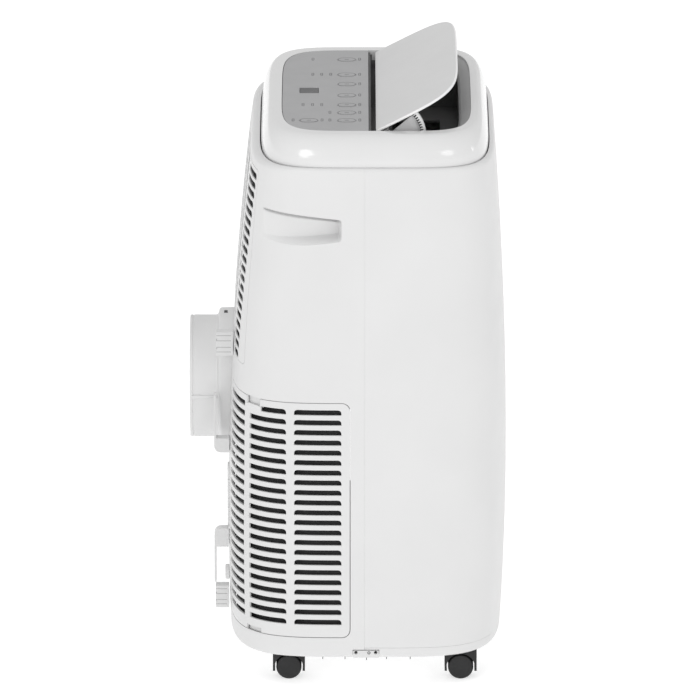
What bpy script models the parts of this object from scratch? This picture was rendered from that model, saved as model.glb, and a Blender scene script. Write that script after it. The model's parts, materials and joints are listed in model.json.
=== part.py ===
"""Portable air conditioner on four twin-wheel casters, front towards -Y, standing on z = 0.

The casing is a superellipse in plan whose front bulges and whose back leans forward towards the top.
The upper half holds the filter cover, evaporator, blower and outlet flap. The lower half holds the side
grilles, condenser, compressor and exhaust duct. Lengths are metres. The origin is on the floor, under
the middle of the overall box.
"""

import math

import bmesh
import bpy
from mathutils import Matrix, Vector

# ---------------------------------------------------------------- driving dimensions
HALF_WIDTH = 0.2335
FRONT_Y = -0.2145
REAR_Y = 0.1625
FRONT_BELLY_Z = 0.29
REAR_BELLY_Z = 0.20
RIM_Z = 0.734
FOOT_Z = 0.045
FRONT_TOP_SETBACK = 0.018
FRONT_FOOT_SETBACK = 0.0075
REAR_TOP_SETBACK = 0.0335
SIDE_TOP_SETBACK = 0.004
SQUARENESS_LOW = 4.3
SQUARENESS_TOP = 5.3
WALL = 0.0025
SEAM = 0.0006
SHELL_FOOT_Z = 0.057
SEAM_Y = -0.0223

BEZEL_HALF_X = 0.2255
BEZEL_REAR_Y = 0.1175
BEZEL_FRONT_Y = -0.1895
RECESS_HALF_X = 0.188
RECESS_REAR_Y = 0.0915
RECESS_FRONT_Y = -0.1650
BEZEL_TOP_Z = 0.7716
BEZEL_FOOT_Z = 0.7392
LIP_TOP_Z = 0.7385
RING_STEPS = 32

FASCIA_TOP_Z = 0.7706
FASCIA_THICK = 0.003
FASCIA_FRONT_Y = -0.0276
KEY_HALF_LENGTH = 0.0126
KEY_HALF_WIDTH = 0.0085
KEY_TRAVEL = 0.0008
KEY_PLAY = 0.0005
KEY_THICK = 0.0022
KEY_PROUD = 0.0003
KEY_COLUMN_Y = 0.0017
KEY_ROWS_X = (0.146, 0.074, 0.029, -0.0235, -0.0685, -0.1045, -0.140)
POWER_KEY_XY = (-0.140, 0.0524)
DISPLAY_XY = (0.0, 0.0524)
DISPLAY_HALF = (0.0125, 0.0125)
BOARD_Z = 0.7555

FLAP_PIVOT_Y = -0.0514
FLAP_PIVOT_Z = 0.759
FLAP_OPEN_DEG = 27.5
FLAP_RISE = 0.0175
FLAP_THICK = 0.0035
FLAP_REAR_Y = -0.0435
FLAP_FRONT_Y = -0.1672
FLAP_HALF_X = 0.185
SHAFT_RADIUS = 0.003
SHAFT_PLAY = 0.0003

SECTOR_TEETH = 97
PINION_TEETH = 10
MODULE = 0.001
TOOTH_ROOT_SHARE = 0.56
TOOTH_TIP_SHARE = 0.26
TOOTH_ADDENDUM = 0.55 * MODULE
TOOTH_DEDENDUM = 0.80 * MODULE
SECTOR_TOP_DEG = 13.0
SECTOR_BOTTOM_DEG = -105.0
SECTOR_RIM_RADIUS = 0.0535
SECTOR_HUB_RADIUS = 0.007
PINION_DEG = -35.0
GEAR_X = -0.1720
GEAR_THICK = 0.0050
WEB_THICK = 0.0022

DUCT_HALF_X = 0.1845
DUCT_REAR_Y = -0.0280
DUCT_FRONT_Y = -0.1520
DUCT_FLOOR_Z = 0.690
DUCT_WALL = 0.0026

GRILLE_FOOT_Z = 0.071
GRILLE_TOP_Z = 0.4037
SLOT_ROWS = 22
SLOT_FIRST_Z = 0.0926
SLOT_LAST_Z = 0.3903
SLOT_HEIGHT = 0.0073
COVER_FOOT_Z = 0.444
COVER_TOP_Z = 0.7215
COVER_HALF_X = 0.1885
COVER_ROWS = 20
COVER_FIRST_Z = 0.4588
COVER_LAST_Z = 0.7130
WINDOW_X = 0.1174
NOTCH_ROWS = 3

DUCT_Z = 0.367
COLLAR_RADIUS = 0.083
COLLAR_END_Y = 0.2145
FLANGE_RADIUS = 0.093
FLANGE_FRONT_Y = 0.1628
FLANGE_REAR_Y = 0.1755

HOOK_X = -0.105
HOOK_WIDTH = 0.016
HOOK_REACH_Y = 0.1812

WHEEL_RADIUS = 0.0175
WHEEL_THICK = 0.0085
WHEEL_OFFSET = 0.0085
CASTER_X = 0.188
WHEEL_SLEEVE = 0.0042
AXLE_RADIUS = 0.0020
CASTER_REAR_Y = 0.080
CASTER_FRONT_Y = -0.1525
HOOD_HALF_LENGTH = 0.0217
HOOD_HALF_WIDTH = 0.0140
HOOD_TOP_Z = 0.0440
HOOD_FOOT_Z = 0.0120
STEM_RADIUS = 0.0045
WHEEL_SIDES = 16

DRAIN_RADIUS = 0.0070

COLLECTION_NAME = "portable_air_conditioner"


# ---------------------------------------------------------------- scene, materials and small helpers
def start_scene():
    for obj in list(bpy.data.objects):
        bpy.data.objects.remove(obj, do_unlink=True)
    collection = bpy.data.collections.new(COLLECTION_NAME)
    bpy.context.scene.collection.children.link(collection)
    return collection


PARTS = start_scene()


def material(name, colour, roughness, metallic=0.0):
    made = bpy.data.materials.new(name)
    made.use_nodes = True
    shader = made.node_tree.nodes["Principled BSDF"]
    shader.inputs["Base Color"].default_value = (*colour, 1.0)
    shader.inputs["Roughness"].default_value = roughness
    shader.inputs["Metallic"].default_value = metallic
    return made


WHITE = material("white_plastic", (0.80, 0.80, 0.80), 0.35)
GLOSS_WHITE = material("gloss_white_plastic", (0.82, 0.82, 0.82), 0.12)
FLAP_GREY = material("flap_plastic", (0.70, 0.70, 0.70), 0.3)
SILVER = material("silver_film", (0.38, 0.38, 0.38), 0.4, 0.3)
DARK = material("dark_plastic", (0.03, 0.03, 0.03), 0.5)
BLACK = material("black_plastic", (0.015, 0.015, 0.015), 0.35)
SCREEN = material("display_lens", (0.12, 0.12, 0.12), 0.15)
MESH_GREY = material("filter_mesh", (0.05, 0.05, 0.05), 0.8)
BOARD_GREEN = material("circuit_board", (0.02, 0.15, 0.06), 0.5)
ALUMINIUM = material("aluminium_fin", (0.70, 0.71, 0.72), 0.35, 1.0)
COPPER = material("copper", (0.72, 0.36, 0.22), 0.3, 1.0)
STEEL = material("painted_steel", (0.04, 0.04, 0.045), 0.4)
ZINC = material("zinc_steel", (0.6, 0.6, 0.6), 0.35, 1.0)


def finish(obj, skin, smooth_deg=None):
    """Names the object's mesh and material, puts it in the parts' collection and shades it."""
    for holder in list(obj.users_collection):
        holder.objects.unlink(obj)
    PARTS.objects.link(obj)
    obj.data.materials.clear()
    obj.data.materials.append(skin)
    if smooth_deg is not None and obj.type == "MESH":
        obj.data.shade_smooth()
        obj.data.set_sharp_from_angle(angle=math.radians(smooth_deg))
    return obj


def from_bmesh(name, bm, skin, smooth_deg=None):
    mesh = bpy.data.meshes.new(name)
    bm.to_mesh(mesh)
    bm.free()
    return finish(bpy.data.objects.new(name, mesh), skin, smooth_deg)


def place(obj, location, rotation=(0.0, 0.0, 0.0)):
    obj.location = location
    obj.rotation_euler = rotation
    return obj


def box(name, low, high, skin, bevel=0.0):
    """An axis-aligned block between two corners."""
    low, high = Vector(low), Vector(high)
    bm = bmesh.new()
    bmesh.ops.create_cube(bm, size=1.0)
    bmesh.ops.scale(bm, vec=high - low, verts=bm.verts)
    obj = place(from_bmesh(name, bm, skin), (low + high) / 2)
    if bevel:
        edge = obj.modifiers.new("rounded_edges", "BEVEL")
        edge.width = bevel
        edge.segments = 2
    return obj


def settle(obj):
    """Moves the object's place into its mesh, so that its origin is the frame's."""
    bpy.context.view_layer.update()
    obj.data.transform(obj.matrix_world)
    return place(obj, (0.0, 0.0, 0.0))


AXIS_TURN = {"x": (0.0, math.pi / 2, 0.0), "y": (math.pi / 2, 0.0, 0.0), "z": (0.0, 0.0, 0.0)}


def rod(name, radius, centre, length, axis, skin, sides=20):
    """A round bar along one axis."""
    bm = bmesh.new()
    bmesh.ops.create_cone(bm, cap_ends=True, segments=sides, radius1=radius, radius2=radius, depth=length)
    return place(from_bmesh(name, bm, skin, 40), centre, AXIS_TURN[axis])


def turned(name, profile, centre, axis, skin, steps):
    """A ring or solid of revolution, flat at the bottom.

    The profile lists (radius, height) down its outer side first. It closes on itself, or on the axis.
    """
    spin = math.pi / steps
    bm = bmesh.new()
    verts = [bm.verts.new((radius * math.cos(spin), radius * math.sin(spin), h)) for radius, h in profile]
    for start, end in zip(verts, verts[1:]):
        bm.edges.new((start, end))
    if profile[0][0] > 0.0:
        bm.edges.new((verts[-1], verts[0]))
    obj = place(from_bmesh(name, bm, skin), centre, AXIS_TURN[axis])
    screw = obj.modifiers.new("turn", "SCREW")
    screw.axis = "Z"
    screw.steps = steps
    screw.render_steps = steps
    screw.use_merge_vertices = True
    screw.merge_threshold = 0.00002
    return obj


def outline_plate(name, points, thickness, skin):
    """A flat closed outline in the XY plane, extruded by its thickness about z = 0 and turned into a mesh."""
    curve = bpy.data.curves.new(name, "CURVE")
    curve.dimensions = "2D"
    curve.fill_mode = "BOTH"
    curve.extrude = thickness / 2
    spline = curve.splines.new("POLY")
    spline.points.add(len(points) - 1)
    for point, (x, y) in zip(spline.points, points):
        point.co = (x, y, 0.0, 1.0)
    spline.use_cyclic_u = True
    return curve_to_mesh(bpy.data.objects.new(name, curve), skin)


def curve_to_mesh(curve_obj, skin):
    """Replaces a curve object by its evaluated mesh, with its caps welded."""
    name = curve_obj.name
    bpy.context.scene.collection.objects.link(curve_obj)
    bpy.context.view_layer.update()
    mesh = bpy.data.meshes.new_from_object(curve_obj.evaluated_get(bpy.context.evaluated_depsgraph_get()))
    bm = bmesh.new()
    bm.from_mesh(mesh)
    bmesh.ops.remove_doubles(bm, verts=bm.verts, dist=0.00001)
    bmesh.ops.recalc_face_normals(bm, faces=bm.faces)
    bm.to_mesh(mesh)
    bm.free()
    bpy.data.objects.remove(curve_obj, do_unlink=True)
    obj = bpy.data.objects.new(name, mesh)
    return finish(obj, skin, 40)


def tube(name, points, radius, skin):
    """A bent pipe through a list of points."""
    curve = bpy.data.curves.new(name, "CURVE")
    curve.dimensions = "3D"
    curve.bevel_depth = radius
    curve.bevel_resolution = 2
    curve.use_fill_caps = True
    spline = curve.splines.new("POLY")
    spline.points.add(len(points) - 1)
    for point, co in zip(spline.points, points):
        point.co = (*co, 1.0)
    return curve_to_mesh(bpy.data.objects.new(name, curve), skin)


def apply_boolean(obj, tool, operation):
    """Cuts or joins obj with tool, keeps the result as plain mesh and removes the tool."""
    bpy.context.view_layer.update()
    modifier = obj.modifiers.new(operation.lower(), "BOOLEAN")
    modifier.operation = operation
    modifier.object = tool
    mesh = bpy.data.meshes.new_from_object(obj.evaluated_get(bpy.context.evaluated_depsgraph_get()))
    obj.modifiers.clear()
    obj.data = mesh
    bpy.data.objects.remove(tool, do_unlink=True)
    return obj


def arc(centre, radius, start_deg, end_deg, steps):
    """Points along a circular arc in a plane."""
    angles = (math.radians(start_deg + (end_deg - start_deg) * k / steps) for k in range(steps + 1))
    return [(centre[0] + radius * math.cos(a), centre[1] + radius * math.sin(a)) for a in angles]


# ---------------------------------------------------------------- the casing's surface
def casing_section(z):
    """Half width, half depth, middle Y and squareness of the casing's plan at height z."""
    rise = max(0.0, z - FRONT_BELLY_Z) / (RIM_Z - FRONT_BELLY_Z)
    sink = max(0.0, FRONT_BELLY_Z - z) / (FRONT_BELLY_Z - FOOT_Z)
    front = FRONT_Y + FRONT_TOP_SETBACK * rise**2 + FRONT_FOOT_SETBACK * sink**2
    rear = REAR_Y - REAR_TOP_SETBACK * ((z - REAR_BELLY_Z) / (RIM_Z - REAR_BELLY_Z)) ** 2
    half_x = HALF_WIDTH - SIDE_TOP_SETBACK * rise**2
    squareness = SQUARENESS_LOW + (SQUARENESS_TOP - SQUARENESS_LOW) * min(1.0, rise)
    return half_x, (rear - front) / 2, (rear + front) / 2, squareness


def casing_point(line, z, inset=0.0):
    """A point of the casing at height z, on the line at a given Y of a side or X of the front or back."""
    kind, value, sign = line
    half_x, half_y, mid_y, power = casing_section(z)
    half_x, half_y = half_x - inset, half_y - inset
    if kind == "side":
        share = min(1.0, abs(value - mid_y) / half_y)
        return Vector((sign * half_x * (1.0 - share**power) ** (1.0 / power), value, z))
    share = min(1.0, abs(value) / half_x)
    return Vector((value, mid_y + sign * half_y * (1.0 - share**power) ** (1.0 / power), z))


def ring_point(half_x, front_y, rear_y, power, turn):
    """A point of a level superellipse, turn running once round it from 0 to 1."""
    angle = 2.0 * math.pi * turn
    across, along = math.cos(angle), math.sin(angle)
    half_y = (rear_y - front_y) / 2
    x = half_x * math.copysign(abs(across) ** (2.0 / power), across)
    y = half_y * math.copysign(abs(along) ** (2.0 / power), along)
    return Vector((x, (front_y + rear_y) / 2 + y, 0.0))


def even_turns(steps):
    """Turns that spread points evenly over a squarish superellipse, closer together at its corners."""
    turns = []
    for k in range(steps + 1):
        turn = k / steps
        turns.append(turn - 0.0267 * math.sin(8.0 * math.pi * turn))
    return turns


def grid_shell(name, columns, rows, where, skin, is_hole=None, thickness=WALL, smooth_deg=35):
    """A curved sheet of columns by rows cells, put in place by where(i, j), given its thickness inwards."""
    bm = bmesh.new()
    bmesh.ops.create_grid(bm, x_segments=columns, y_segments=rows, size=1.0)
    if is_hole:
        doomed = []
        for face in bm.faces:
            middle = face.calc_center_median()
            i = int((middle.x + 1.0) / 2.0 * columns)
            j = int((middle.y + 1.0) / 2.0 * rows)
            if is_hole(i, j):
                doomed.append(face)
        bmesh.ops.delete(bm, geom=doomed, context="FACES")
    for vert in bm.verts:
        i = round((vert.co.x + 1.0) / 2.0 * columns)
        j = round((vert.co.y + 1.0) / 2.0 * rows)
        vert.co = where(i, j)
    bmesh.ops.remove_doubles(bm, verts=bm.verts, dist=0.00001)
    obj = from_bmesh(name, bm, skin, smooth_deg)
    solid = obj.modifiers.new("wall", "SOLIDIFY")
    solid.thickness = thickness
    solid.offset = -1.0
    solid.use_even_offset = True
    return obj


# ---------------------------------------------------------------- casing
def lip_point(line, z, share):
    """A point of the shells' rounded shoulder, share of the way in from the casing to the bezel's outline."""
    half_x, half_y, mid_y, _ = casing_section(z)
    outer = casing_point(line, z)
    bezel_half_y = (BEZEL_REAR_Y - BEZEL_FRONT_Y) / 2 + SEAM
    bezel_mid_y = (BEZEL_REAR_Y + BEZEL_FRONT_Y) / 2
    x = outer.x / half_x * (BEZEL_HALF_X + SEAM)
    y = bezel_mid_y + (outer.y - mid_y) / half_y * bezel_half_y
    return outer.lerp(Vector((x, y, z)), share)


LIP_SHARES = {0.7310: 0.06, 0.7355: 0.30, LIP_TOP_Z: 1.0}
SHELL_LEVELS_TOP = [0.7230, *LIP_SHARES]


def front_shell():
    side_y = (SEAM_Y - SEAM, -0.07, -0.11, -0.14)
    corner_x = (0.2215, 0.210, 0.195, 0.170, 0.130, 0.070)
    right = [("side", y, -1) for y in side_y] + [("front", -x, -1) for x in corner_x]
    left = [("front", x, -1) for x in reversed(corner_x)] + [("side", y, 1) for y in reversed(side_y)]
    lines = right + [("front", 0.0, -1)] + left
    levels = [SHELL_FOOT_Z, 0.12, 0.20, 0.29, 0.40, 0.50, 0.60, 0.68, *SHELL_LEVELS_TOP]

    def where(i, j):
        return lip_point(lines[i], levels[j], LIP_SHARES.get(levels[j], 0.0))

    return grid_shell("front_shell", len(lines) - 1, len(levels) - 1, where, WHITE)


GRIP_FRONT_Y = 0.0095
GRIP_WALL_Y = 0.0150
GRIP_REAR_Y = 0.106
GRIP_DEPTH = 0.021
GRIP_LOW_Z = 0.6320
GRIP_HIGH_Z = 0.6600
GRIP_HEIGHT = GRIP_HIGH_Z - GRIP_LOW_Z
GRIP_EDGE = 0.006
EXHAUST_PLAY = 0.0006
DRAIN_Z = 0.0840


def rear_lines():
    """Vertical lines of the rear casing from the left seam round the back to the right seam."""
    side_y = (SEAM_Y + SEAM, -0.0033, GRIP_FRONT_Y, GRIP_WALL_Y, 0.045, 0.075)
    back_x = (0.2215, 0.2115, COVER_HALF_X + SEAM, 0.170, 0.145, WINDOW_X, 0.06)
    left = [("side", y, 1) for y in side_y] + [("back", x, 1) for x in back_x]
    right = [("back", -x, 1) for x in reversed(back_x)] + [("side", y, -1) for y in reversed(side_y)]
    return left + [("back", 0.0, 1)] + right


def cover_notch_z():
    """Height of the filter cover's lower edge where it steps over the hose adaptor."""
    pitch = (COVER_LAST_Z - COVER_FIRST_Z) / (COVER_ROWS - 1)
    return COVER_FIRST_Z + pitch - SLOT_HEIGHT / 2


def rear_shell():
    lines = rear_lines()
    last = len(lines) - 1
    window_start = 1
    window_end = [value for _, value, _ in lines].index(WINDOW_X)
    cover_start = [value for _, value, _ in lines].index(COVER_HALF_X + SEAM)
    levels = [SHELL_FOOT_Z, GRILLE_FOOT_Z - SEAM, 0.115, 0.19, 0.276, 0.34, GRILLE_TOP_Z + SEAM]
    levels += [COVER_FOOT_Z - SEAM, cover_notch_z() - SEAM, 0.54, GRIP_LOW_Z - GRIP_EDGE, GRIP_LOW_Z]
    levels += [GRIP_HIGH_Z, GRIP_HIGH_Z + GRIP_EDGE, COVER_TOP_Z + SEAM, *SHELL_LEVELS_TOP]

    def grip_depth(point):
        share = (point.y - GRIP_WALL_Y) / (GRIP_REAR_Y - GRIP_WALL_Y)
        in_grip = abs(point.x) > COVER_HALF_X and -0.001 < share < 1.0
        if not in_grip or abs(point.z - (GRIP_LOW_Z + GRIP_HIGH_Z) / 2) > GRIP_HEIGHT / 2 + 0.001:
            return 0.0
        return GRIP_DEPTH * (1.0 - share**2)

    def where(i, j):
        point = lip_point(lines[i], levels[j], LIP_SHARES.get(levels[j], 0.0))
        return Vector((point.x - math.copysign(grip_depth(point), point.x), point.y, point.z))

    def is_hole(i, j):
        z = (levels[j] + levels[j + 1]) / 2
        near = min(i, last - 1 - i)
        if GRILLE_FOOT_Z < z < GRILLE_TOP_Z:
            return window_start <= near < window_end
        low = cover_notch_z() if near >= window_end else COVER_FOOT_Z
        return near >= cover_start and low - SEAM < z < COVER_TOP_Z

    shell = grid_shell("rear_shell", last, len(levels) - 1, where, WHITE, is_hole)
    hole = rod("hole", FLANGE_RADIUS + EXHAUST_PLAY, (0.0, 0.155, DUCT_Z), 0.08, "y", DARK, 40)
    apply_boolean(shell, hole, "DIFFERENCE")
    drain = rod("hole", DRAIN_RADIUS + SEAM, (0.0, 0.155, DRAIN_Z), 0.08, "y", DARK, 16)
    apply_boolean(shell, drain, "DIFFERENCE")
    pad = box("pad", (HOOK_X - 0.0115, 0.1575, 0.186), (HOOK_X + 0.0115, 0.1632, 0.275), WHITE)
    return apply_boolean(shell, pad, "UNION")


def slot_rows(first, last, count, foot, top, height):
    """Heights of the grid's rows and which of the strips between them hold slots."""
    levels, slots = [foot], []
    for k in range(count):
        middle = first + (last - first) * k / (count - 1)
        slots.append(len(levels))
        levels += [middle - height / 2, middle + height / 2]
    return levels + [top], set(slots)


def wrap_line(kind, value, side):
    """A line of a piece that wraps a rear corner, by its Y on the side or its distance from the middle."""
    return ("side", value, side) if kind == "side" else ("back", side * value, 1)


def lower_grille(name, side):
    """The side grille that wraps round a rear corner, with three columns of slots."""
    path = [("side", -0.0027, "edge"), ("side", 0.0089, "open"), ("side", 0.0725, "shut")]
    path += [("side", 0.0833, "open"), ("side", 0.112, "step"), ("side", 0.1348, "shut")]
    path += [("back", 0.1826, "open"), ("back", 0.128, "shut"), ("back", 0.118, "edge")]
    lines = [wrap_line(kind, value, side) for kind, value, _ in path]
    open_cells, is_open = [], False
    for _, _, mark in path[:-1]:
        is_open = (is_open or mark == "open") and mark != "shut"
        open_cells.append(is_open)
    if side < 0:
        lines.reverse()
        open_cells.reverse()
    levels, slots = slot_rows(SLOT_FIRST_Z, SLOT_LAST_Z, SLOT_ROWS, GRILLE_FOOT_Z, GRILLE_TOP_Z, SLOT_HEIGHT)
    return grid_shell(
        name,
        len(lines) - 1,
        len(levels) - 1,
        lambda i, j: casing_point(lines[i], levels[j]),
        WHITE,
        lambda i, j: open_cells[i] and j in slots,
    )


def lower_filter(name, side):
    """The dust filter clipped behind a side grille."""
    path = [("side", 0.004), ("side", 0.05), ("side", 0.095), ("side", 0.120), ("side", 0.133)]
    path += [("back", 0.178), ("back", 0.150), ("back", 0.124)]
    lines = [wrap_line(kind, value, side) for kind, value in path]
    if side < 0:
        lines.reverse()
    levels = (0.080, 0.16, 0.24, 0.32, 0.396)
    return grid_shell(
        name,
        len(lines) - 1,
        len(levels) - 1,
        lambda i, j: casing_point(lines[i], levels[j], 0.0075),
        MESH_GREY,
        thickness=0.0015,
    )


def upper_cover():
    """The ribbed cover over the evaporator's filter, stepped up in the middle over the hose adaptor."""
    marks = [(0.0, "open"), (0.040, "shut"), (0.052, "open"), (0.112, "shut"), (WINDOW_X + 2 * SEAM, "shut")]
    marks += [(0.126, "open"), (0.153, "step"), (0.179, "shut"), (COVER_HALF_X, "edge")]
    left = [("back", x, 1) for x, _ in reversed(marks)]
    right = [("back", -x, 1) for x, _ in marks[1:]]
    lines = left + right
    open_half, is_open = [], False
    for _, mark in marks[:-1]:
        is_open = (is_open or mark == "open") and mark != "shut"
        open_half.append(is_open)
    open_cells = open_half[::-1] + open_half
    levels, slots = slot_rows(COVER_FIRST_Z, COVER_LAST_Z, COVER_ROWS, COVER_FOOT_Z, COVER_TOP_Z, SLOT_HEIGHT)

    def is_hole(i, j):
        in_notch = abs(lines[i][1] + lines[i + 1][1]) / 2 < WINDOW_X
        if in_notch and j <= NOTCH_ROWS:
            return j < NOTCH_ROWS
        return open_cells[i] and j in slots

    return grid_shell(
        "upper_filter_cover",
        len(lines) - 1,
        len(levels) - 1,
        lambda i, j: casing_point(lines[i], levels[j]),
        WHITE,
        is_hole,
    )


def upper_filter():
    lines = [("back", x, 1) for x in (0.182, 0.160, 0.12, 0.06, 0.0, -0.06, -0.12, -0.160, -0.182)]
    levels = (0.474, 0.53, 0.59, 0.65, 0.717)
    return grid_shell(
        "upper_filter_mesh",
        len(lines) - 1,
        len(levels) - 1,
        lambda i, j: casing_point(lines[i], levels[j], 0.0070),
        MESH_GREY,
        thickness=0.0015,
    )


SCREW_Y = (-0.0107, -0.0374)
SCREW_Z = 0.0490
SCREW_PLATE_X = 0.2316
SCREW_RADIUS = 0.0010


def base_pan():
    """The tray that carries everything: a rounded foot, a ledge for the shells and an upstand inside them."""
    turns = even_turns(RING_STEPS)
    rings = [(0.0, FOOT_Z), (0.0160, FOOT_Z), (0.0080, 0.0465), (0.0020, 0.0510), (0.0008, 0.0564)]
    rings += [(0.0050, 0.0564), (0.0050, 0.0700)]

    def where(i, j):
        inset, z = rings[j]
        half_x, half_y, mid_y, power = casing_section(z)
        if j == 0:
            return Vector((0.0, mid_y, z))
        turn = turns[i % RING_STEPS]
        point = ring_point(half_x - inset, mid_y - half_y + inset, mid_y + half_y - inset, power, turn)
        return Vector((point.x, point.y, z))

    pan = grid_shell("base_pan", RING_STEPS, len(rings) - 1, where, WHITE, thickness=0.003)
    for x, y in caster_places():
        hole = rod("stem_hole", STEM_RADIUS + SEAM, (x, y, 0.048), 0.03, "z", DARK, 20)
        apply_boolean(pan, hole, "DIFFERENCE")
    for side in (-1, 1):
        low = (min(side * 0.2245, side * SCREW_PLATE_X), -0.0432, 0.0445)
        high = (max(side * 0.2245, side * SCREW_PLATE_X), -0.0054, 0.0538)
        apply_boolean(pan, box("plate", low, high, WHITE), "UNION")
        for y in SCREW_Y:
            hole = rod("screw_hole", SCREW_RADIUS + 0.0002, (side * 0.230, y, SCREW_Z), 0.020, "x", DARK, 10)
            apply_boolean(pan, hole, "DIFFERENCE")
    return pan


def casing_screws():
    """Self-tapping screws through the plates at the foot of both seams."""
    head, shank = 0.0022, 0.0075
    for k, (side, y) in enumerate([(side, y) for side in (-1, 1) for y in SCREW_Y]):
        face = side * (SCREW_PLATE_X + 0.0003)
        profile = [(0.0, 0.0014), (head * 0.7, 0.0014), (head, 0.0007), (head, 0.0)]
        profile += [(SCREW_RADIUS, 0.0), (SCREW_RADIUS, -shank), (0.0, -shank)]
        screw = turned(f"casing_screw_{k + 1}", profile, (face, y, SCREW_Z), "x", ZINC, 12)
        screw.rotation_euler = (0.0, side * math.pi / 2, 0.0)


def top_bezel():
    """The glossy ring round the control panel and the air outlet, from its foot over to its inner edge."""
    turns = even_turns(RING_STEPS)
    profile = [(0.0, BEZEL_FOOT_Z), (0.0, 0.7450), (0.10, 0.7570), (0.36, 0.7675)]
    profile += [(0.90, BEZEL_TOP_Z), (1.0, BEZEL_TOP_Z - 0.0004), (1.0, 0.7640)]

    def where(i, j):
        share, z = profile[j]
        turn = turns[i % RING_STEPS]
        outer = ring_point(BEZEL_HALF_X, BEZEL_FRONT_Y, BEZEL_REAR_Y, 5.3, turn)
        inner = ring_point(RECESS_HALF_X, RECESS_FRONT_Y, RECESS_REAR_Y, 5.5, turn)
        point = outer.lerp(inner, share)
        return Vector((point.x, point.y, z))

    return grid_shell("top_bezel", RING_STEPS, len(profile) - 1, where, GLOSS_WHITE, thickness=0.0022)


# ---------------------------------------------------------------- controls
def recess_half_outline(inset, low_y, high_y, steps=RING_STEPS):
    """The recess's outline, drawn in by inset and cut off at two Y values, as a closed polygon."""
    points = []
    for turn in even_turns(steps)[:-1]:
        rear, front = RECESS_REAR_Y - inset, RECESS_FRONT_Y + inset
        point = ring_point(RECESS_HALF_X - inset, front, rear, 5.5, turn)
        if low_y < point.y < high_y:
            points.append((point.x, point.y))
    half_y = (RECESS_REAR_Y - RECESS_FRONT_Y) / 2 - inset
    mid_y = (RECESS_REAR_Y + RECESS_FRONT_Y) / 2
    for cut_y in (low_y, high_y):
        if abs(cut_y - mid_y) < half_y:
            x = (RECESS_HALF_X - inset) * (1.0 - (abs(cut_y - mid_y) / half_y) ** 5.5) ** (1.0 / 5.5)
            points += [(x, cut_y), (-x, cut_y)]
    centre_y = (max(low_y, mid_y - half_y) + min(high_y, mid_y + half_y)) / 2
    return sorted(points, key=lambda p: math.atan2(p[1] - centre_y, p[0]))


def oval(half_x, half_y, centre, steps=12):
    """A stadium-like oval, long in Y."""
    straight = half_y - half_x
    upper = arc((centre[0], centre[1] + straight), half_x, 0.0, 180.0, steps // 2)
    lower = arc((centre[0], centre[1] - straight), half_x, 180.0, 360.0, steps // 2)
    return upper + lower


def key_places():
    """Key name and middle for the eight keys."""
    places = {f"key_{k + 1}": (x, KEY_COLUMN_Y) for k, x in enumerate(KEY_ROWS_X)}
    places["key_power"] = POWER_KEY_XY
    return places


def make_key(name, centre):
    """An oval key cap with a post that ends one travel above the switch on the board."""
    cap = outline_plate(name, oval(KEY_HALF_WIDTH, KEY_HALF_LENGTH, (0.0, 0.0)), KEY_THICK, SILVER)
    place(cap, (*centre, FASCIA_TOP_Z + KEY_PROUD - KEY_THICK / 2))
    low_z = BOARD_Z + KEY_TRAVEL + 0.0003
    post_length = FASCIA_TOP_Z - 0.001 - low_z
    post = rod("post", 0.0025, (*centre, low_z + post_length / 2), post_length, "z", SILVER, 10)
    apply_boolean(cap, post, "UNION")


def controls():
    outline = recess_half_outline(0.0012, FASCIA_FRONT_Y, 1.0)
    middle_z = FASCIA_TOP_Z - FASCIA_THICK / 2
    fascia = place(outline_plate("control_fascia", outline, FASCIA_THICK, SILVER), (0.0, 0.0, middle_z))
    for name, centre in key_places().items():
        hole = oval(KEY_HALF_WIDTH + KEY_PLAY, KEY_HALF_LENGTH + KEY_PLAY, centre)
        tool = outline_plate("key_hole", hole, 0.02, DARK)
        apply_boolean(fascia, place(tool, (0.0, 0.0, middle_z)), "DIFFERENCE")
        make_key(name, centre)
    window_x, window_y = DISPLAY_XY
    half_x, half_y = DISPLAY_HALF
    low = (window_x - half_x - 0.0004, window_y - half_y - 0.0004, 0.75)
    high = (window_x + half_x + 0.0004, window_y + half_y + 0.0004, 0.79)
    apply_boolean(fascia, box("window_hole", low, high, DARK), "DIFFERENCE")
    low = (window_x - half_x, window_y - half_y, FASCIA_TOP_Z - 0.0024)
    high = (window_x + half_x, window_y + half_y, FASCIA_TOP_Z - 0.0003)
    box("display_window", low, high, SCREEN)
    box("control_board", (-0.165, -0.020, BOARD_Z - 0.0016), (0.165, 0.074, BOARD_Z), BOARD_GREEN)


# ---------------------------------------------------------------- air outlet
def outlet_frame():
    """The sill along the front of the outlet, under the closed flap's free edge."""
    outline = recess_half_outline(0.0008, -1.0, DUCT_FRONT_Y - 0.0006)
    frame = outline_plate("outlet_frame", outline, 0.004, WHITE)
    return place(frame, (0.0, 0.0, 0.7600))


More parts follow.
